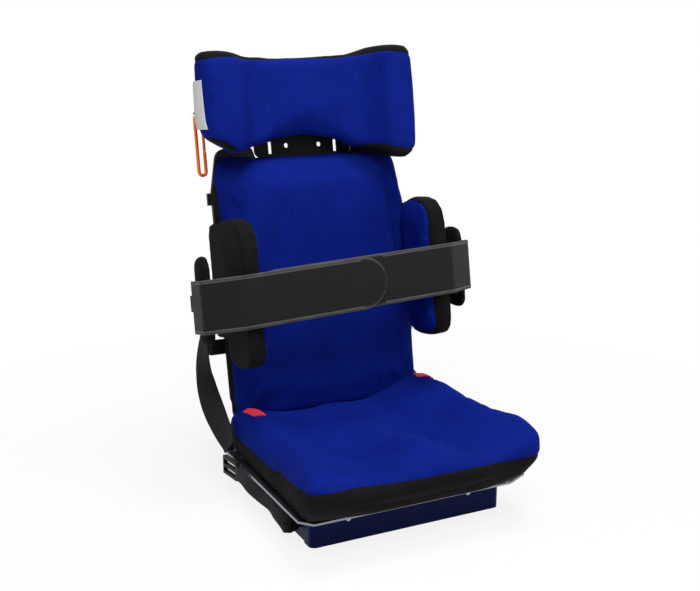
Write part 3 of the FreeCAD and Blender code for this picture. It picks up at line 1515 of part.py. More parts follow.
def make_belt_hook_tab():
    gauge = S.head_plate_thick
    out = -S.hook_reach - S.hook_rod * 2
    inner = -S.head_plate_wing + 12
    low = S.hook_top + S.gate_eye + S.side_gap * 3
    plate = box("tab_plate", (out, HEAD_PLATE_REAR, low), (inner, S.hook_rod * 2.2, low + gauge))
    start = (-S.hook_reach - S.loop_wide / 2, 0, S.hook_top)
    loop = rod("tab_loop", "x", start, S.loop_wide, S.hook_rod + gauge * 0.8)
    bore = rod("tab_bore", "x", start, S.loop_wide, S.hook_rod + S.running_gap)
    tab = cut("belt_hook_tab", fuse("tab_solid", [plate, loop]), bore)
    keep(lean(tab), "belt_hook_tab")


def main():
    make_base_mat()
    make_base_tray()
    make_front_panel()
    make_panel_screws()
    make_seat_plate()
    make_seat_plate_bolts()
    make_seat_cushion()
    make_hinge_ears()
    make_ear_bolts()
    make_recline_bolts()
    make_recline_knobs()
    make_back_arms()
    make_arm_bolts()
    make_back_shell()
    make_back_cushion()
    make_webbing_anchors()
    make_edge_clips()
    make_headrest_sleeve()
    make_headrest_knob()
    make_headrest_stem()
    make_headrest_plate()
    make_headrest_spacer()
    make_headrest_bolts()
    make_headrest_cushion()
    make_belt_hook()
    make_belt_hook_gate()
    make_belt_hook_tab()
    make_clamp_blocks()
    make_clamp_knobs()
    make_side_arms()
    make_side_pads()
    make_pad_covers()
    make_elbow_pads()
    make_chest_strap()
    make_upper_webbing()
    make_ladder_locks()
    make_lower_webbing()


def check_and_write():
    doc.recompute()
    for obj in doc.Objects:
        if "Invalid" in obj.State or "Error" in obj.State:
            raise RuntimeError(obj.Label + " failed: " + str(obj.State))
    os.makedirs("parts", exist_ok=True)
    for part in subparts:
        if part.Shape.isNull() or not part.Shape.isValid():
            raise RuntimeError(part.Label + " has no valid shape")
        part.Shape.exportStep("parts/%s.step" % part.Label)
        print("%-24s %9.1f mm3, %d solids" % (part.Label, part.Shape.Volume, len(part.Shape.Solids)))


main()
check_and_write()
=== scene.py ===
import math

import bmesh
import bpy
from bpy.props import FloatProperty, FloatVectorProperty, IntProperty, PointerProperty
from mathutils import Matrix, Vector
from mathutils.kdtree import KDTree


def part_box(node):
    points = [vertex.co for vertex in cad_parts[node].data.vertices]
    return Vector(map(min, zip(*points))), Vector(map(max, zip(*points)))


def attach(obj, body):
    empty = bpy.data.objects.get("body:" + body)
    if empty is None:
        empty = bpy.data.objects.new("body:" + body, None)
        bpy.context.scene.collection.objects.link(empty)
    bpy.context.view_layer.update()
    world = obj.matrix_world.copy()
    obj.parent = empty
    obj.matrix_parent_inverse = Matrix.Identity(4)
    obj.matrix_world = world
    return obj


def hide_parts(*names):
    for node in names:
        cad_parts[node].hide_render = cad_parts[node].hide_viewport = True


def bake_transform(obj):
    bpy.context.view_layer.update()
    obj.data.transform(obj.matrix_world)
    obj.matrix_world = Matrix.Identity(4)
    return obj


bl_info = {
    "name": "Postural support seat",
    "version": (1, 0, 0),
    "blender": (4, 5, 0),
    "location": "View3D > Sidebar > Seat",
    "description": "Covers, straps and finishes for a child's postural support seat",
    "category": "Object",
}

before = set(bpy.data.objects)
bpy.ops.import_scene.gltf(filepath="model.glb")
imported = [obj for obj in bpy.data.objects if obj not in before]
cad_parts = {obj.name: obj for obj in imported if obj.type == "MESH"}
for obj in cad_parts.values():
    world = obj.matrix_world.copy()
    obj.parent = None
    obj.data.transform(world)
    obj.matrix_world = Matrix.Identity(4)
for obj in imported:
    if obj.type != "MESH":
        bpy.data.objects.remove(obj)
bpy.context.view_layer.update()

# The back, the headrest and the side supports are drawn upright about the
# recline bolts and lean back by ten degrees, as the frame does.
LEAN = math.radians(10)
RECLINE_BOLTS = Vector((0, 0.156, 0.060))
BACK = Matrix.Translation(RECLINE_BOLTS) @ Matrix.Rotation(-LEAN, 4, "X")
UPRIGHT = BACK.inverted()
UP_THE_BACK = BACK.to_3x3() @ Vector((0, 0, 1))
OUT_OF_THE_BACK = BACK.to_3x3() @ Vector((0, -1, 0))
SIDES = (("left", -1), ("right", 1))


def linear(code):
    """Linear RGB of an sRGB hex value."""
    levels = [int(code[i:i + 2], 16) / 255 for i in (1, 3, 5)]
    return [x / 12.92 if x <= 0.04045 else ((x + 0.055) / 1.055) ** 2.4 for x in levels]


def colour(label, text, code):
    return FloatVectorProperty(name=label, description=text, subtype="COLOR", size=3,
                               min=0, max=1, default=linear(code))


def length(label, text, default):
    return FloatProperty(name=label, description=text, subtype="DISTANCE", unit="LENGTH",
                         precision=5, min=0, default=default)


class SeatColours(bpy.types.PropertyGroup):
    cover: colour("Cover", "Royal blue knit of the seat, back, headrest and pads", "#091D7A")
    gusset: colour("Gusset", "Black knit on the sides and backs of the cushions", "#141415")
    strap: colour("Chest strap", "Black neoprene of the chest strap", "#19191A")
    # the thread's grey, also painted on the strap's bound edges as a highlight
    edge: colour("Strap edge", "Worn edge and thread of the chest strap", "#62625F")
    webbing: colour("Webbing", "Black woven webbing", "#1B1B1B")
    base: colour("Base", "Navy powder coat of the steel base", "#061149")
    bracket: colour("Brackets", "Black powder coat of the brackets", "#151517")
    shell: colour("Shell", "Black moulded back shell", "#17171A")
    knobs: colour("Knobs", "Black moulded knobs, locks and clips", "#101012")
    plate: colour("Seat plate", "Bare steel of the seat plate", "#8E9198")
    bolts: colour("Bolts", "Zinc plate of the bolts and screws", "#A9ABAE")
    mat: colour("Floor mat", "Black rubber under the base", "#0E0E0F")
    hook: colour("Belt hook", "Orange anodised rod of the belt hook", "#F06A18")
    tab: colour("Pull tabs", "Red woven tape of the pull tabs", "#FF1238")
    label: colour("Tag", "White satin of the blank tag", "#F2F2F0")
    floor: colour("Floor", "Pale floor of the studio", "#F4F4F4")


class SeatSizes(bpy.types.PropertyGroup):
    mesh_step: length("Mesh step", "Distance between mesh points before a cushion is filled", 0.006)
    shrink: length("Shrink", "How far a cushion is drawn in before it is filled", 0.002)
    swell: length("Swell", "The furthest that filling moves a point of a cushion", 0.004)
    fill_frames: IntProperty(name="Fill frames", description="Steps of the cloth pressure",
                             min=2, max=60, default=18)
    seam_depth: length("Seam depth", "How far a sewn seam is pulled in", 0.0016)
    seam_width: length("Seam width", "Reach of the pull on each side of a seam", 0.007)
    strap_height: length("Strap height", "Height of the chest strap", 0.083)
    strap_thick: length("Strap thickness", "Thickness of the chest strap", 0.0032)
    stitch_step: length("Stitch step", "Distance along the strap from one zigzag to the next", 0.0048)
    stitch_width: length("Stitch width", "Height of the zigzag", 0.0042)
    thread: length("Thread", "Half width of a stitch", 0.0010)
    web_width: length("Upper webbing", "Width of the upper webbing", 0.038)
    low_web_width: length("Lower webbing", "Width of the lower webbing", 0.025)
    web_thick: length("Webbing thickness", "Thickness of the webbing", 0.0018)


def sizes():
    return bpy.context.scene.seat_sizes


def colours():
    return bpy.context.scene.seat_colours


# Materials

def add(tree, kind, links=None, **settings):
    """Adds a node. A link is a socket to take a value from, or the value itself."""
    node = tree.nodes.new(kind)
    for name, value in settings.items():
        setattr(node, name, value)
    for name, value in (links or {}).items():
        if isinstance(value, bpy.types.NodeSocket):
            tree.links.new(value, node.inputs[name])
        else:
            node.inputs[name].default_value = value
    return node


def reckon(tree, operation, *values):
    """A sum, a product or the like of sockets and numbers."""
    return add(tree, "ShaderNodeMath", dict(enumerate(values)), operation=operation).outputs[0]


def spread(tree, value, low, high, start=0.0, stop=1.0, **settings):
    """Stretches a value that runs from start to stop, so that it runs from low to high."""
    return add(tree, "ShaderNodeMapRange", {"Value": value, "From Min": start, "From Max": stop,
                                            "To Min": low, "To Max": high}, **settings).outputs["Result"]


def seen_by(tree, ray, *rays):
    """1 for any of the named kinds of ray, and 0 for the rest."""
    path = add(tree, "ShaderNodeLightPath")
    share = path.outputs[ray]
    for other in rays:
        share = reckon(tree, "MAXIMUM", share, path.outputs[other])
    return share


def shaded(shade, factor):
    return tuple(min(1, c * factor) for c in shade)


class Finish:
    """A material with its tree, its principled shader and the spot on the part. Other
    constants of the shader are given by the names of their sockets."""

    def __init__(self, name, shade, roughness, **sockets):
        self.shade = tuple(shade)
        self.material = bpy.data.materials.new(name)
        self.material.use_nodes = True
        self.material.diffuse_color = (*shade, 1)
        self.tree = self.material.node_tree
        self.shader = self.tree.nodes["Principled BSDF"]
        self.shader.inputs["Base Color"].default_value = (*shade, 1)
        self.shader.inputs["Roughness"].default_value = roughness
        for socket, value in sockets.items():
            self.shader.inputs[socket.replace("_", " ")].default_value = value
        self.spot = add(self.tree, "ShaderNodeTexCoord").outputs["Object"]

    def texture(self, kind, scale, vector=None, ways=None, **sockets):
        """A noise, wave or Voronoi pattern; ways is the direction of a wave's bands."""
        links = {name.replace("_", " "): value for name, value in sockets.items()}
        links.update(Vector=self.spot if vector is None else vector, Scale=scale)
        settings = {"bands_direction": ways} if ways else {}
        node = add(self.tree, "ShaderNodeTex" + kind, links, **settings)
        return node.outputs["Distance" if kind == "Voronoi" else "Fac"]

    def stored(self, name):
        """A number stored on the points of the mesh."""
        return add(self.tree, "ShaderNodeAttribute", attribute_name=name).outputs["Fac"]

    def mixed(self, share, low, high):
        """Mixes two shades: each is a socket, a colour or a factor of the finish's own shade."""
        node = add(self.tree, "ShaderNodeMix", {0: share}, data_type="RGBA")
        for socket, shade in ((node.inputs[6], low), (node.inputs[7], high)):
            if isinstance(shade, bpy.types.NodeSocket):
                self.tree.links.new(shade, socket)
            else:
                shade = shaded(self.shade, shade) if isinstance(shade, float) else shade
                socket.default_value = (*shade, 1)
        return node.outputs[2]

    def paint(self, share, low, high):
        self.tree.links.new(self.mixed(share, low, high), self.shader.inputs["Base Color"])

    def rough(self, share, low, high):
        self.tree.links.new(spread(self.tree, share, low, high), self.shader.inputs["Roughness"])

    def bump(self, height, strength, distance):
        links = {"Height": height, "Strength": strength, "Distance": distance}
        self.tree.links.new(add(self.tree, "ShaderNodeBump", links).outputs[0], self.shader.inputs["Normal"])


def brushed_knit(name, shade, loops, mottle, lift, sheen):
    """Stretch polyester knit with a brushed face: matt, soft at the edges, with the
    nap lying a little lighter and darker in patches."""
    finish = Finish(name, shade, 0.9, Sheen_Weight=sheen, Sheen_Roughness=0.4, Specular_IOR_Level=0.06,
                    Sheen_Tint=(*shaded(shade, lift), 1))
    # Loops are 0.6 mm apart on the real knit; drawn at 1.8 mm so that they show.
    knit = finish.texture("Voronoi", loops)
    # The nap lies in patches about 60 mm across.
    patch = finish.texture("Noise", 17.0, Detail=3.0, Roughness=0.55)
    pile = finish.texture("Noise", 420.0, Detail=2.0)
    base = finish.mixed(spread(finish.tree, patch, 0.0, 1.0, 0.3, 0.7), 1 - mottle, 1 + mottle)
    finish.paint(spread(finish.tree, pile, 0.0, 0.16, 0.35, 0.65), base, lift)
    finish.bump(reckon(finish.tree, "ADD", knit, pile), 0.35, 0.0006)
    finish.rough(pile, 0.76, 0.94)
    return finish.material


def laminated_neoprene(name, shade, lit_edge):
    """Foam rubber between two layers of nylon jersey: smooth and a little shiny, with a
    painted highlight along its bound edges, which are painted lighter where they catch the light."""
    finish = Finish(name, shade, 0.7, Sheen_Weight=0.03, Sheen_Roughness=0.5, Specular_IOR_Level=0.12)
    # Jersey ribs are 0.5 mm apart; drawn at 1.6 mm.
    rib = finish.texture("Wave", 100.0, ways="Z", Distortion=1.5, Detail=2.0, Detail_Scale=2.0)
    rub = finish.texture("Noise", 38.0, Detail=4.0)
    soft = finish.mixed(rub, 0.8, 1.25)
    # painted highlight: the bound edges are painted lighter, where they would catch the light
    finish.paint(reckon(finish.tree, "MULTIPLY", finish.stored("edge"), rub), soft, lit_edge)
    finish.bump(rib, 0.12, 0.0004)
    finish.rough(rub, 0.5, 0.72)
    return finish.material


def spun_thread(name, shade):
    """Bonded polyester sewing thread: two plies that twist every 2 mm."""
    finish = Finish(name, shade, 0.6, Sheen_Weight=0.1)
    ply = finish.texture("Wave", 160.0, ways="DIAGONAL")
    finish.paint(ply, 0.7, 1.2)
    finish.bump(ply, 0.3, 0.0002)
    return finish.material


def woven_webbing(name, shade):
    """Plain-woven polyester webbing: cross ribs, smooth selvedges, a dull shine."""
    finish = Finish(name, shade, 0.7, Sheen_Weight=0.03, Specular_IOR_Level=0.12)
    weave = add(finish.tree, "ShaderNodeCombineXYZ",
                {"X": finish.stored("run"), "Y": finish.stored("across")}).outputs[0]
    # Ribs are 1.4 mm apart on the real webbing; drawn at 3 mm so that they show.
    rib = finish.texture("Wave", 105.0, weave, "X")
    warp = finish.texture("Wave", 160.0, weave, "Y")
    wear_and_lit_edge = finish.texture("Noise", 60.0, Detail=3.0)
    finish.paint(reckon(finish.tree, "MULTIPLY", rib, wear_and_lit_edge), 0.72, 1.9)
    finish.bump(reckon(finish.tree, "MULTIPLY_ADD", warp, 0.35, rib), 0.6, 0.0005)
    return finish.material


def powder_coat(name, shade, roughness, coat):
    """Powder-coated sheet steel: an even coat with fine orange peel and dust in places."""
    finish = Finish(name, shade, roughness, Coat_Weight=coat, Coat_Roughness=0.2, Specular_IOR_Level=0.06)
    # Orange peel is about 1.5 mm across.
    peel = finish.texture("Noise", 650.0, Detail=1.0)
    cloud = finish.texture("Noise", 14.0, Detail=4.0)
    finish.paint(cloud, 0.86, 1.14)
    finish.rough(cloud, roughness - 0.07, roughness + 0.12)
    finish.bump(peel, 0.12, 0.0002)
    return finish.material


def brushed_steel(name, shade):
    """Cold-rolled steel plate, brushed along its length and oiled."""
    finish = Finish(name, shade, 0.36, Metallic=1.0)
    grain = add(finish.tree, "ShaderNodeMapping",
                {"Vector": finish.spot, "Scale": (900.0, 22.0, 900.0)}).outputs[0]
    lines = finish.texture("Noise", 1.0, grain, Detail=3.0)
    finish.paint(lines, 0.8, 1.12)
    finish.rough(lines, 0.26, 0.48)
    finish.bump(lines, 0.08, 0.0002)
    return finish.material


def zinc_plate(name, shade):
    """Bright zinc plate on bolts and screws: pale, slightly clouded metal."""
    finish = Finish(name, shade, 0.3, Metallic=1.0)
    cloud = finish.texture("Noise", 300.0, Detail=3.0)
    finish.paint(cloud, 0.75, 1.1)
    finish.rough(cloud, 0.2, 0.42)
    return finish.material


def moulded_plastic(name, shade, roughness, grain):
    """Injection-moulded plastic with a spark-eroded grain: satin, dusty in the hollows."""
    finish = Finish(name, shade, roughness, IOR=1.54, Specular_IOR_Level=0.2)
    cloud = finish.texture("Noise", 24.0, Detail=3.0)
    finish.paint(cloud, 0.85, 1.3)
    finish.rough(cloud, roughness - 0.08, roughness + 0.1)
    finish.bump(finish.texture("Voronoi", grain), 0.15, 0.0003)
    return finish.material


def ribbed_rubber(name, shade):
    """Vulcanised rubber sheet: dead matt, with a fine cloth print."""
    finish = Finish(name, shade, 0.88, IOR=1.52, Specular_IOR_Level=0.1)
    finish.paint(finish.texture("Noise", 30.0, Detail=5.0), 0.8, 1.6)
    finish.bump(finish.texture("Wave", 130.0, Distortion=0.6), 0.3, 0.0003)
    return finish.material


def anodised_rod(name, shade):
    """Drawn aluminium rod, dyed and anodised: a clear colour with a metal shine and
    lighter scuffs where the belt has rubbed it."""
    finish = Finish(name, shade, 0.3, Metallic=0.55)
    scuff = finish.texture("Noise", 140.0, Detail=5.0)
    finish.paint(spread(finish.tree, scuff, 0.0, 0.5, 0.55, 0.75), 1.0, 1.5)
    finish.rough(scuff, 0.2, 0.45)
    return finish.material


def woven_tape(name, shade, threads):
    """Narrow woven tape: a crossing of warp and weft that shows as a fine check."""
    finish = Finish(name, shade, 0.7, Sheen_Weight=0.15)
    check = reckon(finish.tree, "MULTIPLY", finish.texture("Wave", threads, ways="X"),
                   finish.texture("Wave", threads, ways="Y"))
    finish.paint(check, 0.88, 1.05)
    finish.bump(check, 0.3, 0.0002)
    return finish.material


def make_finishes():
    c = colours()
    return {
        "cover": brushed_knit("Brushed polyester knit, royal blue", c.cover, 550.0, 0.14, 2.0, 0.05),
        "gusset": brushed_knit("Brushed polyester knit, black", c.gusset, 550.0, 0.25, 2.6, 0.03),
        "strap": laminated_neoprene("Jersey-faced neoprene, black", c.strap, c.edge),
        "thread": spun_thread("Bonded polyester thread, grey", c.edge),
        "webbing": woven_webbing("Woven polyester webbing, black", c.webbing),
        "base": powder_coat("Powder-coated steel, navy", c.base, 0.4, 0.02),
        "bracket": powder_coat("Powder-coated steel, black", c.bracket, 0.55, 0.03),
        "plate": brushed_steel("Brushed cold-rolled steel", c.plate),
        "bolts": zinc_plate("Zinc-plated steel", c.bolts),
        "shell": moulded_plastic("Grained ABS, black shell", c.shell, 0.55, 900.0),
        "knobs": moulded_plastic("Glass-filled nylon, black", c.knobs, 0.45, 1400.0),
        "mat": ribbed_rubber("Cloth-printed rubber, black", c.mat),
        "hook": anodised_rod("Anodised aluminium, orange", c.hook),
        "tab": woven_tape("Woven tape, red", c.tab, 420.0),
        "label": woven_tape("Satin ribbon, white", c.label, 900.0),
    }


FINISHES = {}

# Each finish and the nodes that stay as the frame made them and wear it.
NODE_FINISHES = {
    "mat": ("base_mat",),
    "base": ("base_tray", "base_front_panel", "hinge_ear_left", "hinge_ear_right"),
    "plate": ("seat_plate",),
    "bolts": ("front_panel_screws", "seat_plate_bolts", "ear_bolts", "recline_bolts", "back_arm_bolts",
              "headrest_bolts"),
    "bracket": ("back_arm_left", "back_arm_right", "webbing_anchor_left", "webbing_anchor_right",
                "headrest_stem", "headrest_plate", "headrest_spacer", "belt_hook_tab", "side_arm_left",
                "side_arm_right"),
    "shell": ("back_shell",),
    "knobs": ("recline_knob_left", "recline_knob_right", "edge_clips", "headrest_sleeve", "headrest_knob",
              "clamp_block_left", "clamp_block_right", "clamp_knob_left", "clamp_knob_right",
              "ladder_lock_left", "ladder_lock_right"),
    "hook": ("belt_hook_gate",),
}


# Meshes

def new_mesh(name, spots, faces):
    mesh = bpy.data.meshes.new(name)
    mesh.from_pydata(spots, [], faces)
    return mesh


def put(name, mesh, *finishes):
    piece = bpy.data.objects.new(name, mesh)
    bpy.context.scene.collection.objects.link(piece)
    for key in finishes:
        mesh.materials.append(FINISHES[key])
    return piece


def baked(piece):
    """Applies every modifier of a piece."""
    graph = bpy.context.evaluated_depsgraph_get()
    mesh = bpy.data.meshes.new_from_object(piece.evaluated_get(graph))
    piece.modifiers.clear()
    piece.data = mesh
    return piece


def smooth(piece, angle=None):
    mesh = piece.data
    mesh.polygons.foreach_set("use_smooth", [True] * len(mesh.polygons))
    if angle is not None:
        mesh.set_sharp_from_angle(angle=math.radians(angle))
    mesh.update()
    return piece


def skin(name, rings, *finishes):
    """A closed piece through rings of equally many spots, capped at both ends."""
    count = len(rings[0])
    faces = [tuple(range(count)), tuple(range((len(rings) - 1) * count, len(rings) * count))]
    for i in range(len(rings) - 1):
        for j in range(count):
            k = (j + 1) % count
            faces.append((i * count + j, i * count + k, (i + 1) * count + k, (i + 1) * count + j))
    mesh = new_mesh(name, [spot for ring in rings for spot in ring], faces)
    work = bmesh.new()
    work.from_mesh(mesh)
    bmesh.ops.recalc_face_normals(work, faces=work.faces)
    work.to_mesh(mesh)
    work.free()
    return put(name, mesh, *finishes)


def mark(piece, name, values):
    """Stores a number on each point, for the finishes to read."""
    attribute = piece.data.attributes.new(name, "FLOAT", "POINT")
    attribute.data.foreach_set("value", values)


def smooth_run(points, steps):
    """Spots on a smooth line through points."""
    ends = [points[0] * 2 - points[1], *points, points[-1] * 2 - points[-2]]
    spots = []
    for a, b, c, d in zip(ends, ends[1:], ends[2:], ends[3:]):
        for k in range(steps):
            t = k / steps
            spots.append((b * 2 + (c - a) * t + (a * 2 - b * 5 + c * 4 - d) * t ** 2
                          + (b * 3 - a - c * 3 + d) * t ** 3) / 2)
    return spots + [points[-1].copy()]


# Cushions

def cushion(name, node, held, rounds=6, swell=1.0, with_mesh=None, step=None):
    """Copies a soft solid, gives it an even mesh and lets cloth pressure fill it. The
    mesh given with it, if any, is sewn on."""
    s = sizes()
    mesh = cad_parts[node].data.copy()
    mesh.materials.clear()
    work = bmesh.new()
    work.from_mesh(mesh)
    bmesh.ops.remove_doubles(work, verts=work.verts, dist=0.00001)
    if with_mesh is not None:
        extra = bpy.data.meshes.new("sewn on")
        with_mesh.to_mesh(extra)
        with_mesh.free()
        work.from_mesh(extra)
    work.to_mesh(mesh)
    work.free()
    piece = put(name, mesh, "cover", "gusset")
    even = piece.modifiers.new("even mesh", "REMESH")
    even.mode = "VOXEL"
    even.voxel_size = step or s.mesh_step
    soften = piece.modifiers.new("soften", "SMOOTH")
    soften.iterations = rounds
    baked(piece)
    normals = [v.normal.copy() for v in piece.data.vertices]
    for vertex, normal in zip(piece.data.vertices, normals):
        vertex.co -= normal * s.shrink * (1 - held(vertex.co))
    fill(piece, held, swell)
    rounder = piece.modifiers.new("rounder", "SUBSURF")
    rounder.levels = 1
    rounder.render_levels = 1
    return smooth(baked(piece))


def fill(piece, held, swell):
    """Cloth pressure from inside, with no point moved further than the swell."""
    s = sizes()
    before = [v.co.copy() for v in piece.data.vertices]
    group = piece.vertex_groups.new(name="held")
    for number, spot in enumerate(before):
        group.add([number], held(spot), "REPLACE")
    cloth = piece.modifiers.new("filling", "CLOTH")
    cloth.settings.vertex_group_mass = "held"
    cloth.settings.quality = 4
    cloth.settings.use_pressure = True
    cloth.settings.uniform_pressure_force = 4
    cloth.settings.effector_weights.gravity = 0
    cloth.collision_settings.use_collision = False
    scene = bpy.context.scene
    for number in range(1, s.fill_frames + 1):
        scene.frame_set(number)
    baked(piece)
    cap = (s.swell + s.shrink) * swell
    for vertex, old in zip(piece.data.vertices, before):
        move = vertex.co - old
        if move.length > cap:
            vertex.co = old + move.normalized() * cap
    scene.frame_set(1)
    piece.vertex_groups.clear()


def sculpt(piece, move):
    """Moves each point by what move gives for its spot and normal."""
    mesh = piece.data
    steps = [move(v.co, v.normal) for v in mesh.vertices]
    for vertex, step in zip(mesh.vertices, steps):
        vertex.co += step
    mesh.update()


def crease(piece, line, width, depth):
    """Presses a soft fold into a cover along a line of upright spots of the back."""
    spots = [BACK @ Vector(spot) for spot in line]

    def press(co, normal):
        best, share_along = 1e9, 0.0
        for number, (a, b) in enumerate(zip(spots, spots[1:])):
            way = b - a
            t = max(0, min(1, (co - a).dot(way) / way.length_squared))
            gap = (a + way * t - co).length
            if gap < best:
                best, share_along = gap, (number + t) / (len(spots) - 1)
        if best > width * 2.5:
            return Vector()
        ends = math.sin(math.pi * min(1, max(0, share_along))) ** 0.5
        return normal * (-depth * ends * math.exp(-(best / width) ** 2))

    sculpt(piece, press)


# Distances from a seam are taken this many times as large, and those under the
# limit count as on the seam.
SEAM_GAIN = 6
ON_SEAM = 0.004


def sew(piece, side_of):
    """Cuts a cover along its seam, gives the far side the second fabric and pulls the seam in."""
    s = sizes()
    work = bmesh.new()
    work.from_mesh(piece.data)
    value = {v: side_of(v.co) * SEAM_GAIN for v in work.verts}
    for v in value:
        if abs(value[v]) < ON_SEAM:
            value[v] = 0.0
    # a dictionary, since its order is the same in each run
    seam = {v: None for v in value if value[v] == 0.0}
    for edge in list(work.edges):
        a, b = edge.verts
        if value[a] * value[b] < 0:
            _, new = bmesh.utils.edge_split(edge, a, value[a] / (value[a] - value[b]))
            value[new] = 0.0
            seam[new] = None
    bmesh.ops.connect_verts(work, verts=list(seam))
    for face in work.faces:
        face.material_index = 1 if sum(value[v] for v in face.verts) < 0 else 0
        face.smooth = True
    work.normal_update()
    tree = KDTree(len(seam))
    for number, v in enumerate(seam):
        tree.insert(v.co, number)
    tree.balance()
    for v in work.verts:
        near = tree.find(v.co)[2]
        if near < s.seam_width:
            v.co -= v.normal * s.seam_depth * (1 - near / s.seam_width) ** 2
    work.to_mesh(piece.data)
    work.free()
    return smooth(piece)


def settle(piece, body, slot, *nodes):
    """Hides the nodes that a piece stands for and attaches it to the body it rides on. The slot is not used.
    """
    if nodes:
        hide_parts(*nodes)
    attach(piece, body)


def settle_pad(piece, body, slot, fill_share, *nodes):
    settle(piece, body, slot, *nodes)


def ramp(low, high, value):
    """0 below low, 1 above high, and smooth between them."""
    t = max(0.0, min(1.0, (value - low) / (high - low)))
    return t * t * (3 - 2 * t)


def along(table, value):
    """Reads a table of (place, number) pairs, straight between them."""
    if value <= table[0][0]:
        return table[0][1]
    for (a, x), (b, y) in zip(table, table[1:]):
        if value <= b:
            return x + (y - x) * (value - a) / (b - a)
    return table[-1][1]


class SEAT_OT_stage(bpy.types.Operator):
    """Adds the floor, the soft lights and the camera"""
    bl_idname = "seat.stage"
    bl_label = "Stage"

    def execute(self, context):
        scene = context.scene
        scene.view_settings.view_transform = "Standard"
        world = bpy.data.worlds.new("Studio")
        world.use_nodes = True
        tree = world.node_tree
        backdrop = tree.nodes["Background"]
        # The camera and reflections see white; the seat is lit by a dim grey room.
        seen = seen_by(tree, "Is Camera Ray", "Is Glossy Ray", "Is Transmission Ray")
        strength = spread(tree, seen, 0.12, 1.0)
        backdrop.inputs["Color"].default_value = (1, 1, 1, 1)
        tree.links.new(strength, backdrop.inputs["Strength"])
        scene.world = world

        reach = 9.0
        corners = [(-reach, -reach, 0), (reach, -reach, 0), (reach, reach, 0), (-reach, reach, 0)]
        mesh = new_mesh("floor", corners, [(0, 1, 2, 3)])
        floor = put("floor", mesh)
        mesh.materials.append(self.floor_paint(colours().floor))

        self.lamp("key", (-0.9, -1.7, 2.7), 1.1, 44)
        self.lamp("fill", (2.4, -1.5, 1.4), 1.6, 9)
        self.lamp("overhead", (0.25, -0.35, 2.9), 1.2, 50)
        self.camera(scene)
        return {"FINISHED"}

    def floor_paint(self, shade):
        """Matt white paint that still takes the shadow of the seat."""
        finish = Finish("Matt emulsion, white", shade, 0.95, Specular_IOR_Level=0.1)
        tree = finish.tree
        # The shadow shows near the seat; farther out the floor is as white as the room.
        away = add(tree, "ShaderNodeVectorMath", {0: finish.spot}, operation="LENGTH").outputs["Value"]
        share = spread(tree, away, 0.86, 1.0, 0.35, 1.3, interpolation_type="SMOOTHSTEP")
        share = reckon(tree, "MULTIPLY", seen_by(tree, "Is Camera Ray", "Is Glossy Ray"), share)
        glow = add(tree, "ShaderNodeEmission", {"Strength": 1.0}).outputs[0]
        mix = add(tree, "ShaderNodeMixShader", {0: share, 1: finish.shader.outputs[0], 2: glow}).outputs[0]
        tree.links.new(mix, tree.nodes["Material Output"].inputs["Surface"])
        return finish.material

    def lamp(self, name, spot, size, power):
        light = bpy.data.lights.new(name, "AREA")
        light.shape = "SQUARE"
        light.size = size
        light.energy = power
        lamp = bpy.data.objects.new(name, light)
        bpy.context.scene.collection.objects.link(lamp)
        lamp.location = spot
        way = Vector((0, 0, 0.32)) - Vector(spot)
        lamp.rotation_mode = "QUATERNION"
        lamp.rotation_quaternion = way.to_track_quat("-Z", "Y")

    def camera(self, scene):
        data = bpy.data.cameras.new("camera")
        data.sensor_width = 36
        data.lens = 53.49
        camera = bpy.data.objects.new("camera", data)
        scene.collection.objects.link(camera)
        camera.location = (-0.7170, -1.4004, 0.6990)
        camera.rotation_mode = "QUATERNION"
        camera.rotation_quaternion = Vector((0.4327, 0.8717, -0.2300)).to_track_quat("-Z", "Y")
        scene.camera = camera


class SEAT_OT_finishes(bpy.types.Operator):
    """Makes every finish and puts one on each node that stays as the frame made it"""
    bl_idname = "seat.finishes"
    bl_label = "Finishes"

    def execute(self, context):
        FINISHES.update(make_finishes())
        for key, node in ((key, node) for key, nodes in NODE_FINISHES.items() for node in nodes):
            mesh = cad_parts[node].data
            if not mesh.materials:
                mesh.materials.append(None)
            for number in range(len(mesh.materials)):
                mesh.materials[number] = FINISHES[key]
        return {"FINISHED"}


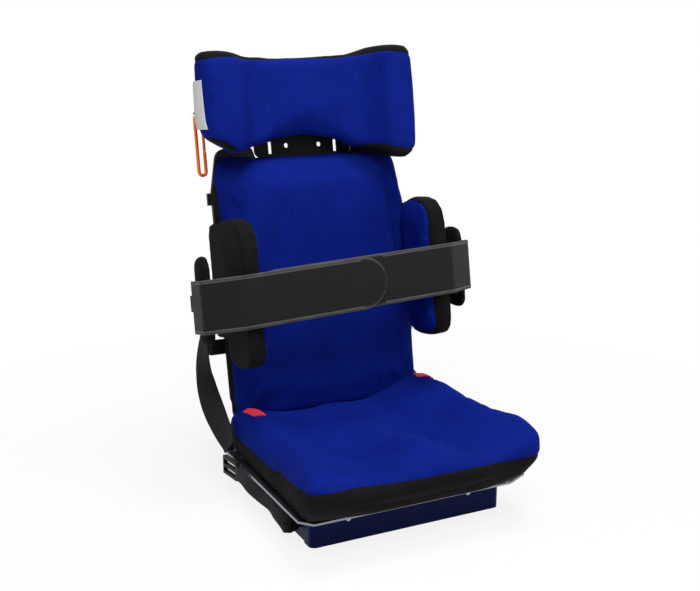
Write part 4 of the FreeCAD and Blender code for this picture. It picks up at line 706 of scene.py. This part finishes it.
class SEAT_OT_seat_cushion(bpy.types.Operator):
    """Builds the seat cushion with its thigh channels"""
    bl_idname = "seat.seat_cushion"
    bl_label = "Seat cushion"

    def execute(self, context):
        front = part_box("seat_cushion")[0].y

        def held(co):
            return 1 - ramp(0.058, 0.066, co.z)

        piece = cushion("seat_cover", "seat_cushion", held)

        # share of the right rim's fulness from front to rear
        rim = [(-0.237, 0.5), (-0.215, 0.95), (-0.164, 1.2), (-0.05, 1.05), (0.04, 1.0), (0.13, 0.9)]

        def shape(co, normal):
            # The right rim is fuller than the left one, most of all near the front.
            full = along(rim, co.y)
            high = 0.017 * full * ramp(0.04, 0.15, co.x) * ramp(0.080, 0.120, co.z)
            wide = 0.015 * full * ramp(0.10, 0.17, co.x) * ramp(0.085, 0.105, co.z)
            # The thigh channels are deepest near the back, and the pommel rises between them.
            dip = 0.0
            if co.z > 0.09:
                for x, y, reach, deep in ((-0.060, -0.06, 0.052, 0.018), (0.080, -0.05, 0.048, 0.018)):
                    away = ((co.x - x) / reach) ** 2 + ((co.y - y) / 0.085) ** 2
                    dip += deep * math.exp(-away)
                away = ((co.x - 0.012) / 0.030) ** 2 + ((co.y + 0.150) / 0.060) ** 2
                dip -= 0.012 * math.exp(-away)
            # The front left corner is rounder and fuller, and the rear rises to meet the back.
            wide -= 0.012 * ramp(0.06, 0.15, -co.x) * (1 - ramp(front + 0.03, front + 0.16, co.y))
            rear = ramp(0.06, 0.15, co.y)
            return Vector((wide, 0.009 * rear, high - dip + 0.007 * rear * ramp(0.080, 0.100, co.z)))

        sculpt(piece, shape)
        # height of the seam at distances from the front edge
        seam = [(0.0, 0.110), (0.007, 0.1075), (0.024, 0.1035), (0.058, 0.0985), (0.110, 0.0945)]

        def blue_top(co):
            near = 1 - ramp(front + 0.05, front + 0.20, co.y)
            raised = 0.007 * near + 0.006 * near * ramp(0.02, 0.15, -co.x)
            return co.z - along(seam, co.y - front) - raised

        sew(piece, blue_top)
        settle_pad(piece, "base", "blue_fabric", 0.7, "seat_cushion")
        return {"FINISHED"}


# how far ahead of the recline bolts the folds of the back cushion lie
CREASE_FRONT = -0.06


class SEAT_OT_back_cushion(bpy.types.Operator):
    """Builds the back cushion in front of the shell"""
    bl_idname = "seat.back_cushion"
    bl_label = "Back cushion"

    def execute(self, context):
        rear = -0.0154

        def held(co):
            return ramp(rear - 0.008, rear - 0.002, (UPRIGHT @ co).y)

        piece = cushion("back_cover", "back_cushion", held, swell=0.8)

        def shape(co, normal):
            """Squares the top corners, dips the middle of the top and hollows the lower back."""
            spot = UPRIGHT @ co
            top = ramp(0.40, 0.455, spot.z)
            side = ramp(0.09, 0.15, abs(spot.x))
            step = UP_THE_BACK * (0.005 * top + 0.005 * top * side + 0.004 * top * ramp(0.02, 0.10, spot.x))
            step += Vector((0.006 * top * side * math.copysign(1, spot.x), 0, 0))
            step -= UP_THE_BACK * 0.020 * (1 - ramp(0.060, 0.120, spot.z))
            step.x += 0.005 * ramp(0.10, 0.15, spot.x) * (1 - ramp(0.38, 0.42, spot.z))
            lower = math.exp(-((spot.z - 0.16) / 0.11) ** 2 - (spot.x / 0.12) ** 2)
            step -= OUT_OF_THE_BACK * 0.006 * lower * ramp(0.03, 0.05, -spot.y)
            return step

        sculpt(piece, shape)
        right = [(0.128, 0.445), (0.134, 0.41), (0.142, 0.37), (0.149, 0.28)]
        crease(piece, [(x, CREASE_FRONT, v) for x, v in right], 0.008, 0.012)
        left = [(-0.128, 0.42), (-0.136, 0.38), (-0.142, 0.33)]
        crease(piece, [(x, CREASE_FRONT, v) for x, v in left], 0.009, 0.004)

        def blue_front(co):
            spot = UPRIGHT @ co
            return max(0.166 - abs(spot.x), -0.040 - spot.y)

        sew(piece, blue_front)
        settle_pad(piece, "backrest", "blue_fabric", 0.6, "back_cushion")
        return {"FINISHED"}


class SEAT_OT_headrest(bpy.types.Operator):
    """Builds the winged headrest"""
    bl_idname = "seat.headrest"
    bl_label = "Headrest"

    def execute(self, context):
        def held(co):
            spot = UPRIGHT @ co
            return ramp(-0.022, -0.017, spot.y) * (1 - ramp(0.12, 0.15, abs(spot.x + 0.009)))

        piece = cushion("headrest_cover", "headrest_cushion", held, rounds=5)
        # height of the top and bottom outlines above the solid's, across the headrest
        lift = [(-0.205, 0.0), (-0.19, 0.002), (-0.12, 0.0), (-0.079, 0.003), (-0.061, 0.002), (-0.03, 0.004),
                (0.03, 0.006), (0.075, 0.006), (0.111, 0.011), (0.168, 0.012), (0.186, 0.005)]
        drop = [(-0.205, 0.036), (-0.196, 0.033), (-0.175, 0.024), (-0.155, 0.013), (-0.146, 0.006),
                (-0.12, 0.0), (-0.10, -0.006), (-0.04, -0.032), (0.03, -0.034), (0.07, -0.024),
                (0.10, -0.009), (0.130, -0.010), (0.151, -0.010), (0.170, -0.002)]

        def shape(co, normal):
            spot = UPRIGHT @ co
            step = along(lift, spot.x) * ramp(0.57, 0.63, spot.z)
            step += along(drop, spot.x) * (1 - ramp(0.47, 0.53, spot.z))
            return UP_THE_BACK * step

        sculpt(piece, shape)
        # height of the lower and the upper seam across the headrest
        lower = [(-0.196, 0.501), (-0.175, 0.491), (-0.155, 0.480), (-0.146, 0.472), (-0.096, 0.472),
                 (-0.079, 0.479), (-0.037, 0.482), (0.008, 0.4835), (0.0815, 0.477), (0.107, 0.478),
                 (0.122, 0.4726), (0.160, 0.466)]
        upper = [(-0.19, 0.618), (-0.10, 0.622), (-0.04, 0.626), (0.06, 0.627), (0.12, 0.630), (0.18, 0.622)]

        def blue_band(co):
            spot = UPRIGHT @ co
            return min(spot.z - along(lower, spot.x), along(upper, spot.x) - spot.z)

        sew(piece, blue_band)
        settle_pad(piece, "headrest", "blue_fabric", 0.75, "headrest_cushion")
        return {"FINISHED"}


# Side pads, from the middle of the seat and from the recline bolts
PAD_LOW, PAD_HIGH = 0.143, 0.378
# the right pad is this far above the middle, the left one as far below
PAD_SHIFT = 0.007
# how far out the blue cloth reaches on the pad and on its tail, and where the tail begins
PAD_SEAM, TAIL_SEAM, TAIL_FRONT = 0.150, 0.1775, -0.066
TAIL_FACES = (0.1762, 0.1798)


class SEAT_OT_side_pads(bpy.types.Operator):
    """Builds the side pads, the covers behind them and the outer pads"""
    bl_idname = "seat.side_pads"
    bl_label = "Side pads"

    def execute(self, context):
        for name, side in SIDES:
            def plate_side(co, side=side):
                return ramp(0.174, 0.178, side * co.x)

            pad = cushion("side_pad_cover_" + name, "side_pad_" + name, plate_side, rounds=4, swell=0.7,
                          with_mesh=self.pad_tail(side), step=0.0028)

            def blue_inside(co, side=side):
                tail = (UPRIGHT @ co).y >= TAIL_FRONT
                return (TAIL_SEAM if tail else PAD_SEAM) - side * co.x

            sew(pad, blue_inside)
            settle_pad(pad, "lateral_" + name, "blue_fabric", 0.75, "side_pad_" + name, "pad_cover_" + name)

            def arm_side(co, side=side):
                return 1 - ramp(0.220, 0.224, side * co.x)

            outer = cushion("outer_pad_cover_" + name, "elbow_pad_" + name, arm_side, rounds=3, swell=0.25)

            def fuller(co, normal, side=side):
                out = Vector((side * 0.003 * ramp(0.226, 0.231, side * co.x), 0, 0))
                return out - OUT_OF_THE_BACK * 0.007 * ramp(-0.115, -0.095, (UPRIGHT @ co).y)

            sculpt(outer, fuller)
            outer.data.materials[0] = FINISHES["gusset"]
            settle_pad(outer, "lateral_" + name, "black_fabric", 0.6, "elbow_pad_" + name)
        return {"FINISHED"}

    def pad_tail(self, side):
        """The flap of the pad's cover that runs back beside the back cushion."""
        shift = PAD_SHIFT * side
        low, high = PAD_LOW + 0.042 + shift, PAD_HIGH - 0.004 + shift
        outline = [(-0.100, low), (-0.0150, low), (-0.0106, low + 0.010), (-0.0106, high - 0.022),
                   (-0.018, high - 0.004), (-0.040, high), (-0.100, high)]
        work = bmesh.new()
        rings = [[work.verts.new(BACK @ Vector((side * x, w, v))) for w, v in outline] for x in TAIL_FACES]
        work.faces.new(rings[0])
        work.faces.new(rings[1][::-1])
        for i in range(len(outline)):
            j = (i + 1) % len(outline)
            work.faces.new((rings[0][i], rings[1][i], rings[1][j], rings[0][j]))
        bmesh.ops.recalc_face_normals(work, faces=work.faces)
        return work


# Chest strap

# Corners in plan, from the rear end on the outer pad round the side pad; the
# front runs along the front line of each half.
STRAP_OUTSIDE = 0.2385
STRAP_REAR = -0.091
STRAP_TURN = -0.138
STRAP_PAD = 0.1822
STRAP_BEND = 0.013
STRAP_TILT = 0.0487
# The left half lies over the right one's stitches as far out as this, on the front,
# where the way out is at more than this angle.
LAP_REACH, LAP_ANGLE = 0.056, 1.5
# side, front line, free end, level of the middle, fall towards the rear end
STRAP_HALVES = {
    "left": (-1, -0.1764, -0.057, 0.2520, 0.003),
    "right": (1, -0.1726, -0.170, 0.2535, 0.003),
}


def strap_line(front, free_end, tall):
    """Plan of one half of the strap: across, back, way out and share of the height."""
    corners = [(STRAP_OUTSIDE, STRAP_REAR), (STRAP_OUTSIDE, STRAP_TURN), (STRAP_PAD, front),
               (free_end, front)]
    ways = [math.atan2(a[0] - b[0], a[1] - b[1]) for a, b in zip(corners, corners[1:])]
    stops = [(*corners[0], ways[0], 1.0)]
    for (x, y), before, after in zip(corners[1:-1], ways, ways[1:]):
        reach = STRAP_BEND * math.tan((after - before) / 2)
        across = x + reach * math.sin(before) - STRAP_BEND * math.cos(before)
        back = y + reach * math.cos(before) + STRAP_BEND * math.sin(before)
        for step in range(11):
            angle = before + (after - before) * step / 10
            stops.append((across + STRAP_BEND * math.cos(angle), back - STRAP_BEND * math.sin(angle),
                          angle, 1.0))
    tip = tall / 2
    start = stops[-1][0]
    for step in range(1, 31):
        stops.append((start + (free_end + tip - start) * step / 30, front, math.pi / 2, 1.0))
    for step in range(1, 13):
        angle = math.pi / 2 * step / 12
        stops.append((free_end + tip * (1 - math.sin(angle)), front, math.pi / 2, max(math.cos(angle), 0.08)))
    return stops


def strap_spot(half, stop, height, out):
    """A spot on one half of the strap, by height from its middle and distance out."""
    side, front, _, level, drop = STRAP_HALVES[half]
    x, w, angle, _ = stop
    fall = drop * (w - front) / (STRAP_REAR - front)
    spot = Vector((side * (x + math.cos(angle) * out), w - math.sin(angle) * out, 0))
    spot.z = level + height - fall + side * x * STRAP_TILT
    return BACK @ spot


class SEAT_OT_chest_strap(bpy.types.Operator):
    """Builds both halves of the chest strap with their zigzag stitching"""
    bl_idname = "seat.chest_strap"
    bl_label = "Chest strap"

    def execute(self, context):
        s = sizes()
        half = s.strap_thick / 2
        # distance in from the strap's edge, share of the half thickness, share of the painted edge highlight
        edge = [(0.0, 0.0, 1.0), (0.0004, 0.7, 1.0), (0.0014, 1.0, 1.0), (0.0032, 1.0, 0.5),
                (0.0052, 0.80, 0.0), (0.0078, 0.97, 0.0)]
        for name, (side, front, free_end, _, _) in STRAP_HALVES.items():
            stops = strap_line(front, free_end, s.strap_height)
            rings, wear_and_lit_edge = [], []
            for stop in stops:
                tall = s.strap_height / 2 * stop[3]
                outline = [(inset - tall, share * half, lit_edge) for inset, share, lit_edge in edge if inset < tall]
                outline += [(v, half, 0.0) for v in (-0.6 * tall, -0.2 * tall, 0.2 * tall, 0.6 * tall)] \
                    if stop[3] > 0.3 else [(v, half, 0.3) for v in (-0.1 * tall, 0, 0, 0.1 * tall)]
                while len(outline) < len(edge) + 4:
                    outline.insert(0, outline[0])
                front_face = outline + [(-v, t, lit_edge) for v, t, lit_edge in outline[len(edge) - 1::-1]]
                back_face = [(v, -t, lit_edge) for v, t, lit_edge in front_face[-2:0:-1]]
                rings.append([strap_spot(name, stop, v, t) for v, t, _ in front_face + back_face])
                wear_and_lit_edge += [lit_edge for _, _, lit_edge in front_face + back_face]
            strap = skin("chest_strap_band_" + name, rings, "strap")
            # each point's share of the painted edge highlight, for the finish to read
            mark(strap, "edge", wear_and_lit_edge)
            smooth(strap, 50)
            settle(strap, "lateral_" + name, "strap_neoprene", "chest_strap_" + name)
            self.stitches(name, stops, covered=side > 0)
        return {"FINISHED"}

    def stitches(self, name, stops, covered):
        """Zigzag thread inside both long edges, on the outer face."""
        s = sizes()
        half = s.strap_thick / 2
        verts, faces = [], []
        for row in (-1, 1):
            path, run = [], 0.0
            for before, stop in zip([None, *stops], stops):
                if stop[3] < 1:
                    break
                if before is not None:
                    run += math.hypot(stop[0] - before[0], stop[1] - before[1])
                path.append((run, stop))
            count = int(path[-1][0] / s.stitch_step * 2)
            knots = []
            for number in range(count + 1):
                place = number * s.stitch_step / 2
                index = next((i for i, (r, _) in enumerate(path) if r >= place), len(path) - 1)
                (r0, a), (r1, b) = path[max(index - 1, 0)], path[index]
                t = 0 if r1 == r0 else (place - r0) / (r1 - r0)
                stop = [p + (q - p) * t for p, q in zip(a, b)]
                inset = 0.0026 + (s.stitch_width if number % 2 else 0)
                height = row * (s.strap_height / 2 - inset)
                out = half * (1.0 if number % 2 == 0 else 0.86)
                knots.append((stop, height, out))
            for (a, ha, oa), (b, hb, ob) in zip(knots, knots[1:]):
                if covered and a[0] < LAP_REACH and a[2] > LAP_ANGLE:
                    continue
                ends = [strap_spot(name, a, ha, oa - 0.0003), strap_spot(name, b, hb, ob - 0.0003)]
                middle = [(p + q) / 2 for p, q in zip(a, b)]
                top = strap_spot(name, middle, (ha + hb) / 2, (oa + ob) / 2 + 0.0009)
                way = (ends[1] - ends[0]).normalized()
                out = (top - (ends[0] + ends[1]) / 2).normalized()
                across = way.cross(out) * s.thread
                centre = (ends[0] + ends[1]) / 2
                first = len(verts)
                verts += [ends[0], centre + across, ends[1], centre - across, top]
                faces += [(first, first + 1, first + 4), (first + 1, first + 2, first + 4),
                          (first + 2, first + 3, first + 4), (first + 3, first, first + 4)]
        mesh = new_mesh("strap_stitching", verts, faces)
        piece = smooth(put("strap_stitching_" + name, mesh, "thread"))
        settle(piece, "lateral_" + name, "strap_neoprene")


# Webbing

def ribbon(name, route, width, thick, steps):
    """Webbing through spots, each with the way of its width; its edges are rounded."""
    spots = smooth_run([spot for spot, _ in route], steps)
    ways = smooth_run([way for _, way in route], steps)
    upper_side = [(-0.49, 0.35), (-0.46, 0.5), (-0.2, 0.5), (0.2, 0.5), (0.46, 0.5), (0.49, 0.35)]
    profile = [(-0.5, 0.0), *upper_side, (0.5, 0.0), *((-a, -b) for a, b in upper_side)]
    rings, run, total = [], [], 0.0
    for number, spot in enumerate(spots):
        before = spots[max(number - 1, 0)]
        after = spots[min(number + 1, len(spots) - 1)]
        total += (spot - before).length
        way = (after - before).normalized()
        across = (ways[number] - way * ways[number].dot(way)).normalized()
        out = way.cross(across)
        rings.append([spot + across * (a * width) + out * (b * thick) for a, b in profile])
        run += [total] * len(profile)
    piece = skin(name, rings, "webbing")
    mark(piece, "run", run)
    mark(piece, "across", [a * width for _ in spots for a, _ in profile])
    return smooth(piece, 60)


class SEAT_OT_webbing(bpy.types.Operator):
    """Builds the webbing from the back shell to the base on each side"""
    bl_idname = "seat.webbing"
    bl_label = "Webbing"

    def execute(self, context):
        s = sizes()
        reach = 0.198
        # in from the reach, behind and above the recline bolts, share of the turn, and
        # how much farther back the right one hangs
        upper = [(0.0044, 0.015, 0.174, 0.0, 0), (0.0036, 0.025, 0.142, 0.3, 0.006),
                 (0.004, 0.028, 0.113, 0.6, 0.014), (0.003, 0.014, 0.088, 0.8, 0.020),
                 (0.002, -0.008, 0.066, 0.8, 0.018), (0.001, -0.038, 0.044, 0.5, 0.010),
                 (0.001, -0.066, 0.024, 0.3, 0.002), (0.001, -0.079, 0.009, 0.15, 0)]
        start, level = 0.046, 0.052
        wall, slot_y, slot_z = 0.1588, -0.098, 0.027
        lower = [(reach, start, level, 0, 0, 1), (reach - 0.001, start - 0.021, level, 0, 0, 1),
                 (reach - 0.004, start - 0.042, level - 0.006, 0, 0.05, 1),
                 (reach - 0.012, start - 0.070, level - 0.013, 0, 0.1, 1),
                 (reach - 0.016, start - 0.096, level - 0.015, 0, 0.2, 1),
                 (reach - 0.018, start - 0.118, level - 0.022, 0, 0.5, 1),
                 (wall + 0.015, slot_y - 0.008, slot_z - 0.005, 0, 1, 0.5),
                 (wall + 0.007, slot_y - 0.002, slot_z - 0.003, 0, 1, 0.1),
                 (wall - 0.008, slot_y, slot_z, 0, 1, 0)]
        turn = BACK.to_3x3()
        for name, side in SIDES:
            route = [(BACK @ Vector((side * (reach - inset), w + (back if side > 0 else 0), v)),
                      turn @ Vector((-side * share * 0.9, -1, 0)).normalized())
                     for inset, w, v, share, back in upper]
            top = ribbon("shell_webbing_" + name, route, s.web_width, s.web_thick, 6)
            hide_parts("upper_webbing_" + name)
            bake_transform(top)
            route = [(Vector((side * x, y, z)), Vector((side * a, b, c)).normalized())
                     for x, y, z, a, b, c in lower]
            low = ribbon("base_webbing_" + name, route, s.low_web_width, s.web_thick, 6)
            settle(low, "base", "black_webbing", "lower_webbing_" + name)
        return {"FINISHED"}


class SEAT_OT_belt_hook(bpy.types.Operator):
    """Builds the round rod of the belt hook"""
    bl_idname = "seat.belt_hook"
    bl_label = "Belt hook"

    def execute(self, context):
        radius, half, middle = 0.0028, 0.006, -0.175
        top, low, mouth = 0.541, 0.451, 0.483
        line = [(half, mouth), (half, (mouth + low) / 2)]
        line += [(half * math.cos(a), low + half * math.sin(a)) for a in (-math.pi * k / 8 for k in range(9))]
        line += [(-half, low + (top - 0.003 - low) * k / 4) for k in range(1, 5)]
        line += [(-0.86 * half, top - 0.0008), (-half / 2, top), (0, top), (0.0025, top)]
        rod = self.tube([Vector((middle + x, 0, z)) for x, z in line], radius)
        # the eye and the pin at the end of the top bar, which carry the gate
        pin = Vector((middle + half, 0, top))
        cheek = self.tube([pin + Vector((-0.0035, -0.0015, 0)), pin + Vector((-0.001, -0.0015, 0))], 0.0013)
        eye = self.tube([pin + Vector((0, y, 0)) for y in (-0.0028, -0.0001)], 0.0032)
        pivot = self.tube([pin + Vector((0, y, 0)) for y in (-0.0031, 0.0031)], 0.0012)
        work = bmesh.new()
        for part in (rod, cheek, eye, pivot):
            work.from_mesh(part.data)
            bpy.data.objects.remove(part)
        mesh = bpy.data.meshes.new("belt_hook_rod")
        work.to_mesh(mesh)
        work.free()
        hook = smooth(put("belt_hook_rod", mesh, "hook"), 50)
        settle(hook, "belt_hook", "orange_hook", "belt_hook")
        return {"FINISHED"}

    def tube(self, line, radius):
        """A round rod through upright spots of the back."""
        rings = []
        for number, spot in enumerate(line):
            way = (line[min(number + 1, len(line) - 1)] - line[max(number - 1, 0)]).normalized()
            side = Vector((0, 1, 0)) if abs(way.y) < 0.5 else Vector((0, 0, 1))
            out = way.cross(side)
            rings.append([BACK @ (spot + out * radius * math.cos(a) + side * radius * math.sin(a))
                          for a in (math.pi * k / 8 for k in range(16))])
        return skin("rod", rings)


class SEAT_OT_tabs(bpy.types.Operator):
    """Sews the red pull tabs to the seat cushion and the blank tag to the headrest"""
    bl_idname = "seat.tabs"
    bl_label = "Tabs and tag"

    def execute(self, context):
        seat = bpy.data.objects["seat_cover"]
        # corners in plan, from the sewn edge round
        for name, corners in (("left", [(-0.164, 0.102), (-0.139, 0.121), (-0.131, 0.083), (-0.157, 0.068)]),
                              ("right", [(0.160, 0.122), (0.185, 0.110), (0.180, 0.080), (0.155, 0.092)])):
            corners = [Vector((x, y, 0.4)) for x, y in corners]
            piece = self.draped(seat, "pull_tab_" + name, corners, Vector((0, 0, -1)), "tab")
            settle(piece, "base", "blue_fabric")
        # behind and above, on the left side of the headrest
        corners = [BACK @ Vector((-0.3, w, v)) for w, v in ((-0.030, 0.590), (-0.094, 0.586),
                                                            (-0.096, 0.510), (-0.042, 0.516))]
        head = bpy.data.objects["headrest_cover"]
        tag = self.draped(head, "blank_tag", corners, Vector((1, 0, 0)), "label", lift=0.009)
        settle(tag, "headrest", "blue_fabric")
        return {"FINISHED"}

    def draped(self, under, name, corners, way, finish, lift=0.0):
        """A tape laid on a cushion: its spots are sent along a way on to the cover. Its
        first edge stands off by the lift."""
        count = 7
        a, b, c, d = corners
        spots = []
        for i in range(count):
            for j in range(count):
                u, v = i / (count - 1), j / (count - 1)
                start = (a * (1 - u) + b * u) * (1 - v) + (d * (1 - u) + c * u) * v
                found, place, _, _ = under.ray_cast(start, way)
                if not found:
                    raise RuntimeError(name + " isn't over the cushion")
                rise = 0.0006 * math.sin(math.pi * v) * math.sin(math.pi * u) + lift * (1 - u) ** 2
                spots.append(place - way * (0.0007 + rise))
        faces = [(i * count + j, (i + 1) * count + j, (i + 1) * count + j + 1, i * count + j + 1)
                 for i in range(count - 1) for j in range(count - 1)]
        piece = put(name, new_mesh(name, spots, faces), finish)
        thick = piece.modifiers.new("thick", "SOLIDIFY")
        thick.thickness = 0.0014
        thick.offset = 0
        return smooth(baked(piece), 60)


STEPS = (
    ("stage", "Stage"), ("finishes", "Finishes"), ("seat_cushion", "Seat cushion"),
    ("back_cushion", "Back cushion"), ("headrest", "Headrest"), ("side_pads", "Side pads"),
    ("chest_strap", "Chest strap"), ("webbing", "Webbing"), ("belt_hook", "Belt hook"), ("tabs", "Tabs"),
)


class SEAT_PT_panel(bpy.types.Panel):
    """Lists the pieces of the seat in the order in which they are made"""
    bl_label = "Support seat"
    bl_idname = "SEAT_PT_panel"
    bl_space_type = "VIEW_3D"
    bl_region_type = "UI"
    bl_category = "Seat"

    def draw(self, context):
        for step, label in STEPS:
            self.layout.operator("seat." + step, text=label)
        for group in (context.scene.seat_sizes, context.scene.seat_colours):
            box = self.layout.box()
            for name in group.__annotations__:
                box.prop(group, name)


CLASSES = (SeatColours, SeatSizes, SEAT_OT_stage, SEAT_OT_finishes, SEAT_OT_seat_cushion,
           SEAT_OT_back_cushion, SEAT_OT_headrest, SEAT_OT_side_pads, SEAT_OT_chest_strap,
           SEAT_OT_webbing, SEAT_OT_belt_hook, SEAT_OT_tabs, SEAT_PT_panel)


def register():
    for cls in CLASSES:
        bpy.utils.register_class(cls)
    bpy.types.Scene.seat_colours = PointerProperty(type=SeatColours)
    bpy.types.Scene.seat_sizes = PointerProperty(type=SeatSizes)


def unregister():
    del bpy.types.Scene.seat_sizes
    del bpy.types.Scene.seat_colours
    for cls in reversed(CLASSES):
        bpy.utils.unregister_class(cls)


def main():
    register()
    for step, _ in STEPS:
        getattr(bpy.ops.seat, step)()


if __name__ == "__main__":
    main()
